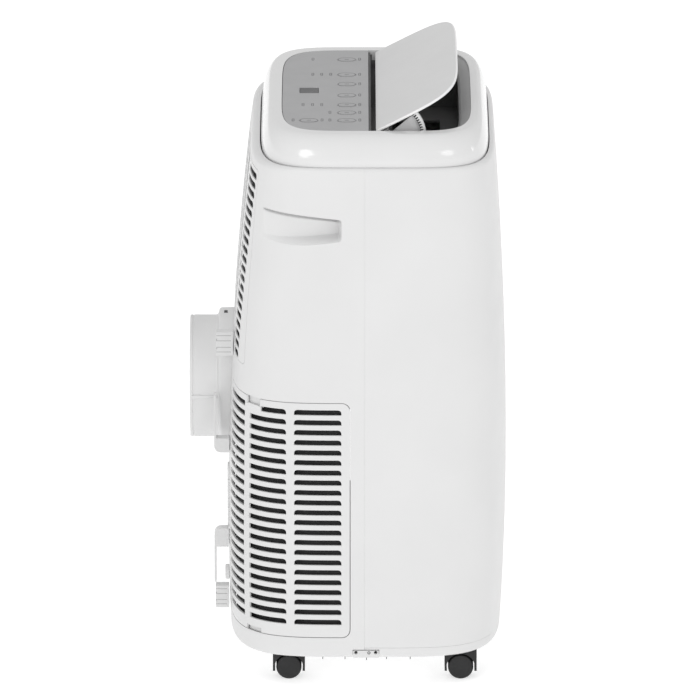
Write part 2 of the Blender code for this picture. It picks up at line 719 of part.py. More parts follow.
def outlet_duct():
    """The dark open-topped box under the flap, with an opening in its floor where the blower breathes."""
    low = (-DUCT_HALF_X, DUCT_FRONT_Y, DUCT_FLOOR_Z)
    high = (DUCT_HALF_X, DUCT_REAR_Y, 0.7680)
    duct = box("outlet_duct", low, high, DARK)
    wall_x = 0.0015
    inner_low = (low[0] + wall_x, low[1] + DUCT_WALL, low[2] + 0.003)
    inner_high = (high[0] - wall_x, high[1] - DUCT_WALL, 0.80)
    apply_boolean(duct, box("inside", inner_low, inner_high, DARK), "DIFFERENCE")
    front_cut = box("front_cut", (-0.2, -0.17, 0.7600), (0.2, DUCT_REAR_Y - DUCT_WALL - 0.002, 0.80), DARK)
    apply_boolean(duct, front_cut, "DIFFERENCE")
    throat = box("throat", (-0.12, -0.125, 0.60), (0.12, -0.060, 0.74), DARK)
    apply_boolean(duct, throat, "DIFFERENCE")
    pin_y, pin_z = pinion_middle()
    shaft_hole = rod("shaft_hole", 0.0026, (-DUCT_HALF_X, pin_y, pin_z), 0.012, "x", DARK, 16)
    return apply_boolean(duct, shaft_hole, "DIFFERENCE")


def pinion_middle():
    reach = (SECTOR_TEETH - PINION_TEETH) * MODULE / 2
    angle = math.radians(PINION_DEG)
    return FLAP_PIVOT_Y - reach * math.cos(angle), FLAP_PIVOT_Z + reach * math.sin(angle)


# turns a gear drawn flat: its X becomes forwards, its Y upwards and its Z towards the right side
GEAR_TURN = Matrix(((0, 0, -1), (-1, 0, 0), (0, 1, 0)))


def tooth_wave(teeth, root_radius, tip_radius, start_deg, end_deg, shift_deg=0.0):
    """Points along a row of straight-sided teeth from one angle to another."""
    pitch = 360.0 / teeth
    root, tip = TOOTH_ROOT_SHARE / 2, TOOTH_TIP_SHARE / 2
    corners = ((-root, root_radius), (-tip, tip_radius), (tip, tip_radius), (root, root_radius))
    points = []
    first = math.ceil((start_deg - shift_deg) / pitch)
    last = math.floor((end_deg - shift_deg) / pitch)
    for k in range(first, last + 1):
        for offset, radius in corners:
            angle = math.radians(shift_deg + (k + offset) * pitch)
            points.append((radius * math.cos(angle), radius * math.sin(angle)))
    return points


def flap_outline():
    """The flap's outline about the pivot: straight behind, with the recess's broad corners in front."""
    points = []
    for turn in even_turns(RING_STEPS)[:-1]:
        point = ring_point(FLAP_HALF_X, FLAP_FRONT_Y, RECESS_REAR_Y, 5.5, turn)
        if point.y < FLAP_REAR_Y - 0.001:
            points.append((point.x, point.y - FLAP_PIVOT_Y))
    rear = FLAP_REAR_Y - FLAP_PIVOT_Y
    return [(-FLAP_HALF_X, rear), *points, (FLAP_HALF_X, rear)]


def flap_parts():
    """Flap, shaft and toothed sector, modelled shut about the pivot and tipped open by their parent empty."""
    pivot = bpy.data.objects.new("flap_pivot", None)
    PARTS.objects.link(pivot)
    place(pivot, (0.0, FLAP_PIVOT_Y, FLAP_PIVOT_Z), (-math.radians(FLAP_OPEN_DEG), 0.0, 0.0))

    flap = outline_plate("outlet_flap", flap_outline(), FLAP_THICK, FLAP_GREY)
    flap.location = (0.0, 0.0, FLAP_RISE - FLAP_THICK / 2)
    for x in (-0.120, 0.0, 0.120, 0.173):
        low = (x - 0.0015, -0.0045, -0.0045)
        lug = box("lug", low, (x + 0.0015, 0.0045, FLAP_RISE - FLAP_THICK + 0.001), FLAP_GREY)
        apply_boolean(flap, lug, "UNION")
    bore = rod("bore", SHAFT_RADIUS + SHAFT_PLAY, (0.0, 0.0, 0.0), 0.5, "x", DARK, 16)
    apply_boolean(flap, bore, "DIFFERENCE")
    shaft = rod("flap_shaft", SHAFT_RADIUS, (0.0, 0.0, 0.0), 0.362, "x", ZINC, 14)

    tip = SECTOR_TEETH * MODULE / 2 - TOOTH_ADDENDUM
    root = SECTOR_TEETH * MODULE / 2 + TOOTH_DEDENDUM
    teeth = tooth_wave(SECTOR_TEETH, root, tip, SECTOR_BOTTOM_DEG, SECTOR_TOP_DEG)
    rim = arc((0.0, 0.0), SECTOR_RIM_RADIUS, SECTOR_TOP_DEG, SECTOR_BOTTOM_DEG, 14)
    band = outline_plate("flap_gear_sector", teeth + rim, GEAR_THICK, WHITE)
    inner = arc((0.0, 0.0), SECTOR_HUB_RADIUS, SECTOR_BOTTOM_DEG, SECTOR_TOP_DEG, 6)
    outer = arc((0.0, 0.0), SECTOR_RIM_RADIUS - 0.0002, SECTOR_TOP_DEG, SECTOR_BOTTOM_DEG, 14)
    web = outline_plate("web", inner + outer, WEB_THICK, WHITE)
    web.location = (0.0, 0.0, 0.0002 - GEAR_THICK / 2 - WEB_THICK / 2)
    apply_boolean(band, web, "UNION")
    hub_z = -GEAR_THICK / 2 - WEB_THICK / 2
    hub = rod("hub", SECTOR_HUB_RADIUS + 0.0015, (0.0, 0.0, hub_z), WEB_THICK - 0.0006, "z", WHITE)
    apply_boolean(band, hub, "UNION")
    bore = rod("bore", SHAFT_RADIUS + SHAFT_PLAY, (0.0, 0.0, 0.0), 0.05, "z", DARK, 16)
    apply_boolean(band, bore, "DIFFERENCE")
    band.rotation_mode = "QUATERNION"
    band.rotation_quaternion = GEAR_TURN.to_quaternion()
    band.location = (GEAR_X, 0.0, 0.0)
    for piece in (flap, shaft, band):
        piece.parent = pivot


def flap_drive():
    """The small stepper motor beside the outlet and the pinion that turns the sector."""
    pin_y, pin_z = pinion_middle()
    tip = PINION_TEETH * MODULE / 2 + TOOTH_ADDENDUM
    root = PINION_TEETH * MODULE / 2 - TOOTH_DEDENDUM
    teeth = tooth_wave(PINION_TEETH, root, tip, 0.0, 359.9, 180.0 / PINION_TEETH)
    pinion = outline_plate("flap_pinion", teeth, 0.0040, DARK)
    bore = rod("bore", 0.0016, (0.0, 0.0, 0.0), 0.05, "z", DARK, 12)
    apply_boolean(pinion, bore, "DIFFERENCE")
    pinion.rotation_mode = "QUATERNION"
    pinion.rotation_quaternion = (GEAR_TURN @ Matrix.Rotation(pinion_phase(), 3, "Z")).to_quaternion()
    pinion.location = (GEAR_X, pin_y, pin_z)
    body = rod("flap_motor", 0.0140, (-0.1975, pin_y, pin_z), 0.018, "x", ZINC, 20)
    spindle = rod("spindle", 0.0013, (-0.1800, pin_y, pin_z), 0.020, "x", ZINC, 10)
    apply_boolean(body, spindle, "UNION")


def pinion_phase():
    """Turn of the pinion that puts one of its gaps opposite the sector tooth nearest the line of centres."""
    pitch = 360.0 / SECTOR_TEETH
    line = PINION_DEG - FLAP_OPEN_DEG
    nearest = round(line / pitch) * pitch
    return math.radians(PINION_DEG + (nearest - line) * SECTOR_TEETH / PINION_TEETH)


# ---------------------------------------------------------------- rear fittings
def exhaust():
    """The hose adaptor on the back and the duct from the condenser fan that it sits on."""
    inner = COLLAR_RADIUS - 0.0028
    profile = [(inner, -COLLAR_END_Y), (inner, -FLANGE_FRONT_Y), (FLANGE_RADIUS, -FLANGE_FRONT_Y)]
    profile += [(FLANGE_RADIUS, 0.0035 - FLANGE_REAR_Y), (FLANGE_RADIUS - 0.0035, -FLANGE_REAR_Y)]
    profile += [(COLLAR_RADIUS, -FLANGE_REAR_Y), (COLLAR_RADIUS, -COLLAR_END_Y)]
    turned("hose_adaptor", profile, (0.0, 0.0, DUCT_Z), "y", WHITE, 40)
    duct_in, duct_out, seat_y = 0.0720, 0.0745, -0.1500
    end_y = 0.0004 - FLANGE_FRONT_Y
    profile = [(duct_in, end_y), (duct_in, -0.0650), (duct_out, -0.0650), (duct_out, seat_y)]
    profile += [(FLANGE_RADIUS, seat_y), (FLANGE_RADIUS, end_y)]
    turned("exhaust_duct", profile, (0.0, 0.0, DUCT_Z), "y", DARK, 32)


def side_profile(name, points, skin):
    """A plate drawn in the YZ plane and extruded along X about the hooks' middle."""
    plate = outline_plate(name, points, HOOK_WIDTH, skin)
    plate.rotation_mode = "QUATERNION"
    plate.rotation_quaternion = Matrix(((0, 0, 1), (1, 0, 0), (0, 1, 0))).to_quaternion()
    plate.location = (HOOK_X, 0.0, 0.0)
    return plate


def cord_hook(name, arm_low, arm_high, tip_z, root_y):
    """An L-shaped hook for the power cord: an arm from the back and a thin bar up or down from its end."""
    bar = 0.0026
    end_y = HOOK_REACH_Y
    radius = 0.009
    if tip_z > arm_high:
        points = [(root_y, arm_high), (root_y, arm_low)]
        points += arc((end_y - radius, arm_low + radius), radius, -90.0, 0.0, 5)
        points += [(end_y, tip_z), (end_y - bar, tip_z), (end_y - bar, arm_high)]
    else:
        points = [(root_y, arm_low), (end_y - bar, arm_low), (end_y - bar, tip_z), (end_y, tip_z)]
        points += arc((end_y - radius, arm_high - radius), radius, 0.0, 90.0, 5)
        points += [(root_y, arm_high)]
    return side_profile(name, points, WHITE)


def ribbed_block(name, low_z, high_z, root_y, end_y):
    """A block on the back with raised ribs across its outer side."""
    groove = 0.0012
    height = high_z - low_z
    points = [(root_y, low_z)]
    for share in (0.0, 0.36, 0.72):
        start = low_z + height * share
        stop = low_z + height * min(1.0, share + 0.28)
        points += [(end_y, start), (end_y, stop)]
        if share < 0.7:
            points += [(end_y - groove, stop), (end_y - groove, start + height * 0.36)]
    points += [(root_y, high_z)]
    return side_profile(name, points, WHITE)


def rear_fittings():
    cord_hook("cord_hook_upper", 0.2940, 0.3140, 0.3750, 0.1604)
    cord_hook("cord_hook_lower", 0.1590, 0.1850, 0.1085, 0.1620)
    ribbed_block("cord_outlet", 0.4320, 0.4650, 0.1550, 0.1780)
    ribbed_block("plug_socket", 0.0720, 0.1030, 0.1618, 0.1796)
    profile = [(0.0, -0.150), (DRAIN_RADIUS, -0.150), (DRAIN_RADIUS, -0.1632), (0.0105, -0.1632)]
    profile += [(0.0105, -0.1665), (0.0095, -0.1680), (0.0, -0.1680)]
    turned("drain_cap", profile, (0.0, 0.0, DRAIN_Z), "y", WHITE, 18)


# ---------------------------------------------------------------- casters
def caster_places():
    return [(x, y) for y in (CASTER_FRONT_Y, CASTER_REAR_Y) for x in (-CASTER_X, CASTER_X)]


def caster(label, x, y):
    """Hood with swivel stem, two wheels joined by their sleeve, and the axle through them."""
    wheel_z = WHEEL_RADIUS * math.cos(math.pi / WHEEL_SIDES)
    low = (x - HOOD_HALF_WIDTH, y - HOOD_HALF_LENGTH, HOOD_FOOT_Z)
    hood = box(f"{label}_hood", low, (x + HOOD_HALF_WIDTH, y + HOOD_HALF_LENGTH, HOOD_TOP_Z), BLACK)
    well = rod("well", WHEEL_RADIUS + 0.0018, (x, y, wheel_z), 0.05, "x", DARK, 28)
    apply_boolean(hood, well, "DIFFERENCE")
    web = box("web", (x - 0.0018, y - 0.009, 0.0105), (x + 0.0018, y + 0.009, HOOD_TOP_Z - 0.002), BLACK)
    apply_boolean(hood, web, "UNION")
    stem = rod("stem", STEM_RADIUS, (x, y, HOOD_TOP_Z + 0.009), 0.022, "z", BLACK, 16)
    apply_boolean(hood, stem, "UNION")
    bore = rod("bore", WHEEL_SLEEVE + SHAFT_PLAY, (x, y, wheel_z), 0.05, "x", DARK, 16)
    apply_boolean(hood, bore, "DIFFERENCE")
    half = WHEEL_OFFSET + WHEEL_THICK / 2
    inner = half - WHEEL_THICK
    bore_radius = AXLE_RADIUS + SHAFT_PLAY
    profile = [(WHEEL_RADIUS, half), (WHEEL_RADIUS, inner), (WHEEL_SLEEVE, inner), (WHEEL_SLEEVE, -inner)]
    profile += [(WHEEL_RADIUS, -inner), (WHEEL_RADIUS, -half), (bore_radius, -half), (bore_radius, half)]
    turned(f"{label}_wheels", profile, (x, y, wheel_z), "x", BLACK, WHEEL_SIDES)
    rod(f"{label}_axle", AXLE_RADIUS, (x, y, wheel_z), 2 * half - 0.001, "x", ZINC, 12)


def casters():
    labels = ["caster_front_right", "caster_front_left", "caster_rear_right", "caster_rear_left"]
    for label, (x, y) in zip(labels, caster_places()):
        caster(label, x, y)


# ---------------------------------------------------------------- fasteners and inside
def impeller(name, centre, radius, width, blades):
    """A squirrel-cage wheel: back plate with a hub, blades round the edge and a front ring."""
    x, y, z = centre
    wheel = settle(rod(name, radius, (0.0, 0.0, -width / 2 + 0.0015), 0.003, "z", WHITE, 28))
    hub = rod("hub", 0.012, (0.0, 0.0, -width / 2 + 0.011), 0.018, "z", WHITE, 16)
    apply_boolean(wheel, hub, "UNION")
    for k in range(blades):
        angle = 2.0 * math.pi * k / blades
        low = (radius - 0.018, -0.0012, -width / 2 + 0.001)
        blade = box("blade", low, (radius - 0.002, 0.0012, width / 2 - 0.001), WHITE)
        blade.matrix_world = Matrix.Rotation(angle, 4, "Z") @ Matrix.Translation(blade.location)
        apply_boolean(wheel, blade, "UNION")
    ring = [(radius, 0.0), (radius, -0.004), (radius - 0.018, -0.004), (radius - 0.018, 0.0)]
    ring = turned("ring", ring, (0.0, 0.0, width / 2), "z", WHITE, 28)
    apply_boolean(wheel, ring, "UNION")
    bore = rod("bore", 0.0034, (0.0, 0.0, 0.0), 0.2, "z", DARK, 12)
    apply_boolean(wheel, bore, "DIFFERENCE")
    # the back plate faces the front of the casing, where the motor is
    return place(wheel, (x, y, z), (-math.pi / 2, 0.0, 0.0))


def motor(name, centre_x, centre_z, low_y, high_y, shaft_end_y, radius):
    body = rod(name, radius, (centre_x, (low_y + high_y) / 2, centre_z), high_y - low_y, "y", STEEL, 24)
    length = shaft_end_y - high_y + 0.004
    shaft = rod("shaft", 0.0030, (centre_x, shaft_end_y - length / 2, centre_z), length, "y", ZINC, 12)
    return apply_boolean(body, shaft, "UNION")


def coil(name, low, high):
    """A finned coil block with end plates standing proud of the fins."""
    block = box(name, low, high, ALUMINIUM)
    for x in (low[0], high[0]):
        plate_low = (x - 0.001, low[1] - 0.003, low[2] - 0.003)
        plate = box("plate", plate_low, (x + 0.001, high[1] + 0.003, high[2] + 0.003), ALUMINIUM)
        apply_boolean(block, plate, "UNION")
    return block


def inside_parts():
    deck_turns = even_turns(28)[:-1]
    half_x, half_y, mid_y, power = casing_section(0.43)
    outline = [ring_point(half_x - 0.03, mid_y - half_y + 0.012, 0.142, power, turn) for turn in deck_turns]
    place(outline_plate("mid_deck", [(p.x, p.y) for p in outline], 0.004, WHITE), (0.0, 0.0, 0.4640))
    coil("evaporator_coil", (-0.165, 0.080, 0.475), (0.165, 0.106, 0.690))
    coil("condenser_coil", (-0.165, 0.088, 0.078), (0.165, 0.114, 0.270))
    impeller("blower_wheel", (0.0, 0.030, 0.575), 0.095, 0.060, 12)
    motor("blower_motor", 0.0, 0.575, -0.075, -0.004, 0.020, 0.042)
    impeller("condenser_fan", (0.0, 0.030, 0.180), 0.080, 0.056, 11)
    motor("condenser_motor", 0.0, 0.180, -0.062, -0.002, 0.020, 0.034)
    profile = [(0.0, 0.252), (0.030, 0.249), (0.050, 0.236), (0.056, 0.215), (0.056, 0.085), (0.048, 0.064)]
    profile += [(0.030, 0.056), (0.0, 0.055)]
    turned("compressor", profile, (-0.02, -0.138, 0.0), "z", STEEL, 28)
    pipe = [(-0.02, -0.138, 0.2524), (-0.02, -0.138, 0.285), (0.03, -0.138, 0.298), (0.15, -0.125, 0.300)]
    pipe += [(0.186, -0.09, 0.300), (0.192, 0.0, 0.300), (0.192, 0.05, 0.300), (0.190, 0.080, 0.285)]
    pipe += [(0.184, 0.098, 0.262), (0.1715, 0.101, 0.252)]
    tube("refrigerant_pipes", pipe, 0.004, COPPER)


def build():
    front_shell()
    rear_shell()
    base_pan()
    top_bezel()
    lower_grille("lower_grille_right", -1)
    lower_grille("lower_grille_left", 1)
    lower_filter("lower_filter_right", -1)
    lower_filter("lower_filter_left", 1)
    upper_cover()
    upper_filter()
    controls()
    outlet_frame()
    outlet_duct()
    flap_parts()
    flap_drive()
    exhaust()
    rear_fittings()
    casters()
    casing_screws()
    inside_parts()
    bpy.context.view_layer.update()


build()
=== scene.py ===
"""Portable air conditioner: its finished surfaces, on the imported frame.

The casing is one curved surface that every shell, grille and cover shares. A point of it is found from
(s, v): s runs along the plan outline from one side seam to the other, anticlockwise seen from above, by
way of the front or the back, and v runs up the wall and then over the rounded lip. Lengths are metres.
"""

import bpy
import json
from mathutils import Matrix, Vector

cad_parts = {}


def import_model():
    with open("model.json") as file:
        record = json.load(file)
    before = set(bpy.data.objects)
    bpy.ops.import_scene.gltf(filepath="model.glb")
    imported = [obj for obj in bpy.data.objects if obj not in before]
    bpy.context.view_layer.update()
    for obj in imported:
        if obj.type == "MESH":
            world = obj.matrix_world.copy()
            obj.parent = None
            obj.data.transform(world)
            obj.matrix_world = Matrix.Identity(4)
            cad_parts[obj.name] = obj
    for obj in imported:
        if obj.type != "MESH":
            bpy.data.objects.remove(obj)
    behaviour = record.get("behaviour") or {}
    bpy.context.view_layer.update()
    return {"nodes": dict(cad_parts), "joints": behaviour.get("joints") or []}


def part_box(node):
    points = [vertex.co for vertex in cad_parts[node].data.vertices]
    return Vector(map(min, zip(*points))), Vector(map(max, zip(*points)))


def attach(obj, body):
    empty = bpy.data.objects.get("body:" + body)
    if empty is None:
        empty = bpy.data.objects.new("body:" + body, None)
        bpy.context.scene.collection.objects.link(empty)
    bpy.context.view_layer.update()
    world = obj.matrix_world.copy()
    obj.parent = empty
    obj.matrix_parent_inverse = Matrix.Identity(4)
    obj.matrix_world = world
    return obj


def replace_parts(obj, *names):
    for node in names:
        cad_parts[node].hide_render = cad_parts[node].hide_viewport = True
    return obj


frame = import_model()

import json
import math

import bpy
import numpy as np
from mathutils import Vector
from mathutils.geometry import delaunay_2d_cdt

# ---------------------------------------------------------------- casing surface

# The casing is fullest at its belly and leans in above and below it. A SETBACK is how far a face has moved
# in at the rim or the foot, and SIDE_END is the Y where a straight side turns into a corner.
FRONT, REAR = -1.0, 1.0
HALF_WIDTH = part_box("front_shell")[1].x
FRONT_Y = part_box("front_shell")[0].y
REAR_Y = 0.1625
FRONT_BELLY_Z, REAR_BELLY_Z = 0.29, 0.20
RIM_Z = 0.7315
SIDE_SETBACK, FRONT_SETBACK, FOOT_SETBACK, REAR_SETBACK = 0.004, 0.018, 0.0075, 0.0335
LOW_POWER, FOOT_DROP = 4.3, 0.245
SIDES = ((-1.0, "right"), (1.0, "left"))
SEAM_Y = -0.0223
SEAM_GAP, SEAM_RADIUS = 0.00002, 0.00013
SIDE_END = {FRONT: -0.145, REAR: 0.100}
BACK_START_X = 0.160
LIP_RADIUS = 0.0075
LIP_INSET_SIDE = 0.004
LIP_INSET = {FRONT: 0.007, REAR: 0.0115}
FOOT_Z, FOOT_RADIUS, TRAY_Z = 0.0414, 0.007, 0.0440
WALL = 0.0025


def linked(name, data):
    """A new object in the scene."""
    obj = bpy.data.objects.new(name, data)
    bpy.context.scene.collection.objects.link(obj)
    return obj


def placed(node):
    """Middle and half size of a CAD node's box."""
    low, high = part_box(node)
    return (low + high) / 2, (high - low) / 2


def smooth_mesh(name, points, faces, material):
    """A mesh that is smooth all over, with one material."""
    mesh = bpy.data.meshes.new(name)
    mesh.from_pydata(points.tolist(), [], faces)
    mesh.polygons.foreach_set("use_smooth", [True] * len(mesh.polygons))
    mesh.materials.append(material)
    return mesh


def unit(rows):
    """Vectors scaled to length 1."""
    return rows / np.linalg.norm(rows, axis=-1, keepdims=True).clip(1e-12)


def plan_shape(z):
    """Half width, middle Y, half depth and power of the casing's plan outline at height z."""
    rise = np.maximum(0.0, z - FRONT_BELLY_Z) / (RIM_Z - FRONT_BELLY_Z)
    sink = np.maximum(0.0, FRONT_BELLY_Z - z) / FOOT_DROP
    lean = (z - REAR_BELLY_Z) / (RIM_Z - REAR_BELLY_Z)
    front = FRONT_Y + FRONT_SETBACK * rise**2 + FOOT_SETBACK * sink**2
    rear = REAR_Y - REAR_SETBACK * lean**2
    half_x = HALF_WIDTH - SIDE_SETBACK * rise**2
    return half_x, (front + rear) / 2, (rear - front) / 2, LOW_POWER + np.minimum(1.0, rise)


def corner_angles(z, end):
    """Angles of the plan outline where its straight side ends and where its straight end begins."""
    half_x, middle, half_y, power = plan_shape(z)
    side = np.arcsin((end * (SIDE_END[end] - middle) / half_y) ** (power / 2))
    back = np.arccos((BACK_START_X / half_x) ** (power / 2))
    return side, back


def corner_table(end):
    """Share of the corner's angle against arc length, measured once at the belly's height."""
    z = FRONT_BELLY_Z if end == FRONT else REAR_BELLY_Z
    half_x, _, half_y, power = plan_shape(z)
    side, back = corner_angles(z, end)
    share = np.linspace(0.0, 1.0, 60)
    angle = side + share * (back - side)
    x, y = half_x * np.cos(angle) ** (2 / power), half_y * np.sin(angle) ** (2 / power)
    length = np.concatenate([[0.0], np.cumsum(np.hypot(np.diff(x), np.diff(y)))])
    return length, share


CORNER = {end: corner_table(end) for end in (FRONT, REAR)}
SIDE_LENGTH = {end: abs(SIDE_END[end] - SEAM_Y) for end in (FRONT, REAR)}
TO_BACK = {end: SIDE_LENGTH[end] + CORNER[end][0][-1] for end in (FRONT, REAR)}
TO_MIDDLE = {end: TO_BACK[end] + BACK_START_X for end in (FRONT, REAR)}


def wall_point(s, z, end):
    """Points (n, 3) of the casing's wall at heights z."""
    mirrored = s > TO_MIDDLE[end]
    s = np.where(mirrored, 2 * TO_MIDDLE[end] - s, s)
    half_x, middle, half_y, power = plan_shape(z)
    side, back = corner_angles(z, end)
    length, share = CORNER[end]
    angle = side + np.interp(s - SIDE_LENGTH[end], length, share) * (back - side)
    x = half_x * np.cos(angle) ** (2 / power)
    y = middle + end * half_y * np.sin(angle) ** (2 / power)
    on_side, on_back = s < SIDE_LENGTH[end], s > TO_BACK[end]
    side_y = SEAM_Y + end * s
    side_x = half_x * (1 - np.abs((side_y - middle) / half_y).clip(0, 1) ** power) ** (1 / power)
    back_x = TO_MIDDLE[end] - s
    back_y = middle + end * half_y * (1 - (np.abs(back_x) / half_x).clip(0, 1) ** power) ** (1 / power)
    x = np.where(on_side, side_x, np.where(on_back, back_x, x))
    y = np.where(on_side, side_y, np.where(on_back, back_y, y))
    return np.stack([np.where(mirrored, -end, end) * x, y, z + 0 * x], axis=-1)


def plan_inward(s, end):
    """Level unit directions from the rim towards the inside."""
    step, rim = 1e-4, np.full_like(s, RIM_Z)
    along = wall_point(s + step, rim, end) - wall_point(s - step, rim, end)
    return unit(np.stack([-along[..., 1], along[..., 0], 0 * s], axis=-1))


def casing_point(s, v, end):
    """Points of the casing: its tucked-in foot, its wall, the rounded lip and the crease behind the lip."""
    top, foot = RIM_Z - LIP_RADIUS, FOOT_Z + FOOT_RADIUS
    over = (v - top).clip(0.0, None) / LIP_RADIUS
    under = (foot - v).clip(0.0, None) / FOOT_RADIUS
    tuck = np.minimum(under, math.pi / 2)
    lip, past = np.minimum(over, math.pi / 2), (over - math.pi / 2).clip(0.0, None)
    point, inward = wall_point(s, v.clip(foot, top), end), plan_inward(s, end)
    reach = np.hypot(inward[..., 0] * LIP_INSET_SIDE, inward[..., 1] * LIP_INSET[end])
    inset = reach * (1 - np.cos(lip) + past) + FOOT_RADIUS * (1 - np.cos(tuck) + under - tuck)
    point = point + inward * inset[..., None]
    point[..., 2] += LIP_RADIUS * np.sin(lip) - FOOT_RADIUS * np.sin(tuck)
    return point


def rear_s(kind, value, z):
    """s of the rear casing's line at that Y of the left side, or that X of the back, at height z."""
    s = np.linspace(0.0, TO_MIDDLE[REAR], 400)
    points = wall_point(s, np.full_like(s, z), REAR)
    if kind == "side":
        return float(np.interp(value, points[:, 1], s))
    return float(np.interp(-value, -points[:, 0], s))


def normals(surface, s, v):
    """Outward unit normals of a surface by differences."""
    step = 2e-4
    along = surface(s + step, v) - surface(s - step, v)
    up = surface(s, v + step) - surface(s, v - step)
    return unit(np.cross(along, up))


# ---------------------------------------------------------------- skins: sheets with rounded edges


def arc_steps(count):
    """Angles over a quarter turn."""
    return np.linspace(0.0, math.pi / 2, count)


def full_turn(count):
    """Even angles round a full turn, the last one short of the first."""
    return np.arange(count) * 2 * math.pi / count


def cornered(left, low, right, high, radii, steps=4):
    """A rectangle with a radius for each corner, anticlockwise from its lower left one."""
    loop = []
    corners = ((left, low), (right, low), (right, high), (left, high))
    for k, ((x, y), r) in enumerate(zip(corners, radii)):
        middle_x = x + r if x == left else x - r
        middle_y = y + r if y == low else y - r
        for turn in arc_steps(steps):
            angle = math.pi * (1 + k / 2) + turn
            loop.append((middle_x + r * math.cos(angle), middle_y + r * math.sin(angle)))
    return np.array(loop)


def rounded(left, low, right, high, radius, steps=4):
    return cornered(left, low, right, high, (radius,) * 4, steps)


def split_long(loop, longest):
    """The loop with its long edges divided, so that it follows a curved surface."""
    out = []
    for a, b in zip(loop, np.roll(loop, -1, axis=0)):
        count = max(1, int(math.ceil(np.hypot(*(b - a)) / longest)))
        out += [a + (b - a) * k / count for k in range(count)]
    return np.array(out)


def grown(loop, amount):
    """An anticlockwise loop moved outwards."""
    before, after = loop - np.roll(loop, 1, axis=0), np.roll(loop, -1, axis=0) - loop
    before, after = unit(before), unit(after)
    first = np.stack([before[:, 1], -before[:, 0]], axis=-1)
    second = np.stack([after[:, 1], -after[:, 0]], axis=-1)
    scale = 1 + (first * second).sum(axis=1, keepdims=True)
    return loop + amount * (first + second) / scale.clip(0.4)


def inside(points, loop):
    """Which of the points lie inside the loop."""
    low, high = loop.min(axis=0), loop.max(axis=0)
    near = ((points > low) & (points < high)).all(axis=1)
    found = np.zeros(len(points), bool)
    x, y = points[near, 0], points[near, 1]
    odd = np.zeros(len(x), bool)
    for (ax, ay), (bx, by) in zip(loop, np.roll(loop, -1, axis=0)):
        if ay != by:
            crosses = (ay > y) != (by > y)
            odd ^= crosses & (x < (bx - ax) * (y - ay) / (by - ay) + ax)
    found[near] = odd
    return found


def lattice(outer, holes, columns, rows, clearance):
    """Grid points inside the outer loop and clear of it and of the holes."""
    grid = np.array([(x, y) for x in columns for y in rows])
    keep = inside(grid, grown(outer, -clearance))
    for hole in holes:
        keep &= ~inside(grid, grown(hole, clearance))
    return grid[keep]


def triangulate(outer, holes, extra):
    """Triangles of the region between the loops. The loops' points come first, in order."""
    loops = [outer, *holes]
    points = np.concatenate([*loops, extra]) if len(extra) else np.concatenate(loops)
    edges, start = [], 0
    for loop in loops:
        count = len(loop)
        edges += [(start + k, start + (k + 1) % count) for k in range(count)]
        start += count
    result = delaunay_2d_cdt([Vector(p) for p in points * 100], edges, [], 1, 1e-7, True)
    source = [ids[0] if ids else -1 for ids in result[3]]
    faces = np.array([[source[i] for i in face] for face in result[2]])
    faces = faces[(faces >= 0).all(axis=1)]
    middles = points[faces].mean(axis=1)
    keep = inside(middles, outer)
    for hole in holes:
        keep &= ~inside(middles, hole)
    faces = faces[keep]
    a, b, c = (points[faces[:, k]] for k in range(3))
    twice_area = np.cross(b - a, c - a)
    faces[twice_area < 0] = faces[twice_area < 0][:, ::-1]
    return points, faces[np.abs(twice_area) > 1e-11]


class Build:
    """Collects points and faces with a normal for each face corner."""

    def __init__(self):
        self.points, self.faces, self.normals, self.count = [], [], [], 0

    def add(self, points, faces, corner_normals):
        self.points.append(points)
        self.faces += (np.asarray(faces) + self.count).tolist()
        self.normals.append(corner_normals.reshape(-1, 3))
        self.count += len(points)

    def strip(self, first, second, first_normals, second_normals):
        """A closed strip of quads from one ring of points to the next."""
        count = len(first)
        k = np.arange(count)
        n = (k + 1) % count
        quads = np.stack([k, n, n + count, k + count], axis=1)
        both = np.concatenate([first_normals, second_normals])
        self.add(np.concatenate([first, second]), quads, both[quads])

    def make(self, name, material):
        mesh = smooth_mesh(name, np.concatenate(self.points), self.faces, material)
        mesh.normals_split_custom_set(np.concatenate(self.normals).tolist())
        mesh.update()
        return linked(name, mesh)


def edge_rings(surface, loop, outward, radius, thickness, steps, back_radius):
    """Rings down an edge of a skin: the rounded shoulder, the wall, and the rounded back edge."""
    rings = []
    s, v = loop[:, 0], loop[:, 1]
    out2 = unit(grown(loop, outward * 1e-4) - loop)
    step = 2e-4
    normal = normals(surface, s, v)
    towards = surface(s + step * out2[:, 0], v + step * out2[:, 1]) - surface(s, v)
    towards = unit(towards - normal * (towards * normal).sum(axis=1, keepdims=True))
    for turn in arc_steps(steps):
        inset = radius * (1 - math.sin(turn))
        ring = loop - out2 * inset
        depth = radius * (1 - math.cos(turn))
        place = surface(ring[:, 0], ring[:, 1]) - normal * depth
        rings.append((place, normal * math.cos(turn) + towards * math.sin(turn)))
    edge = surface(s, v)
    for turn in arc_steps(steps if back_radius else 1):
        depth = thickness - back_radius * (1 - math.sin(turn)) if back_radius else thickness
        place = edge - towards * back_radius * (1 - math.cos(turn)) - normal * depth
        rings.append((place, towards * math.cos(turn) - normal * math.sin(turn)))
    return rings


def add_edge(build, rings, outward):
    """The strips between an edge's rings, facing out of the sheet or into a hole."""
    for (a, a_normal), (b, b_normal) in zip(rings, rings[1:]):
        if outward > 0:
            build.strip(b, a, b_normal, a_normal)
        else:
            build.strip(a, b, a_normal, b_normal)


def paint_edges(sheet, face_count, material):
    """Gives a sheet's edges their own material, between its front faces and its back faces."""
    sheet.data.materials.append(material)
    index = np.zeros(len(sheet.data.polygons), dtype=np.int32)
    index[face_count:-face_count] = 1
    sheet.data.polygons.foreach_set("material_index", index)


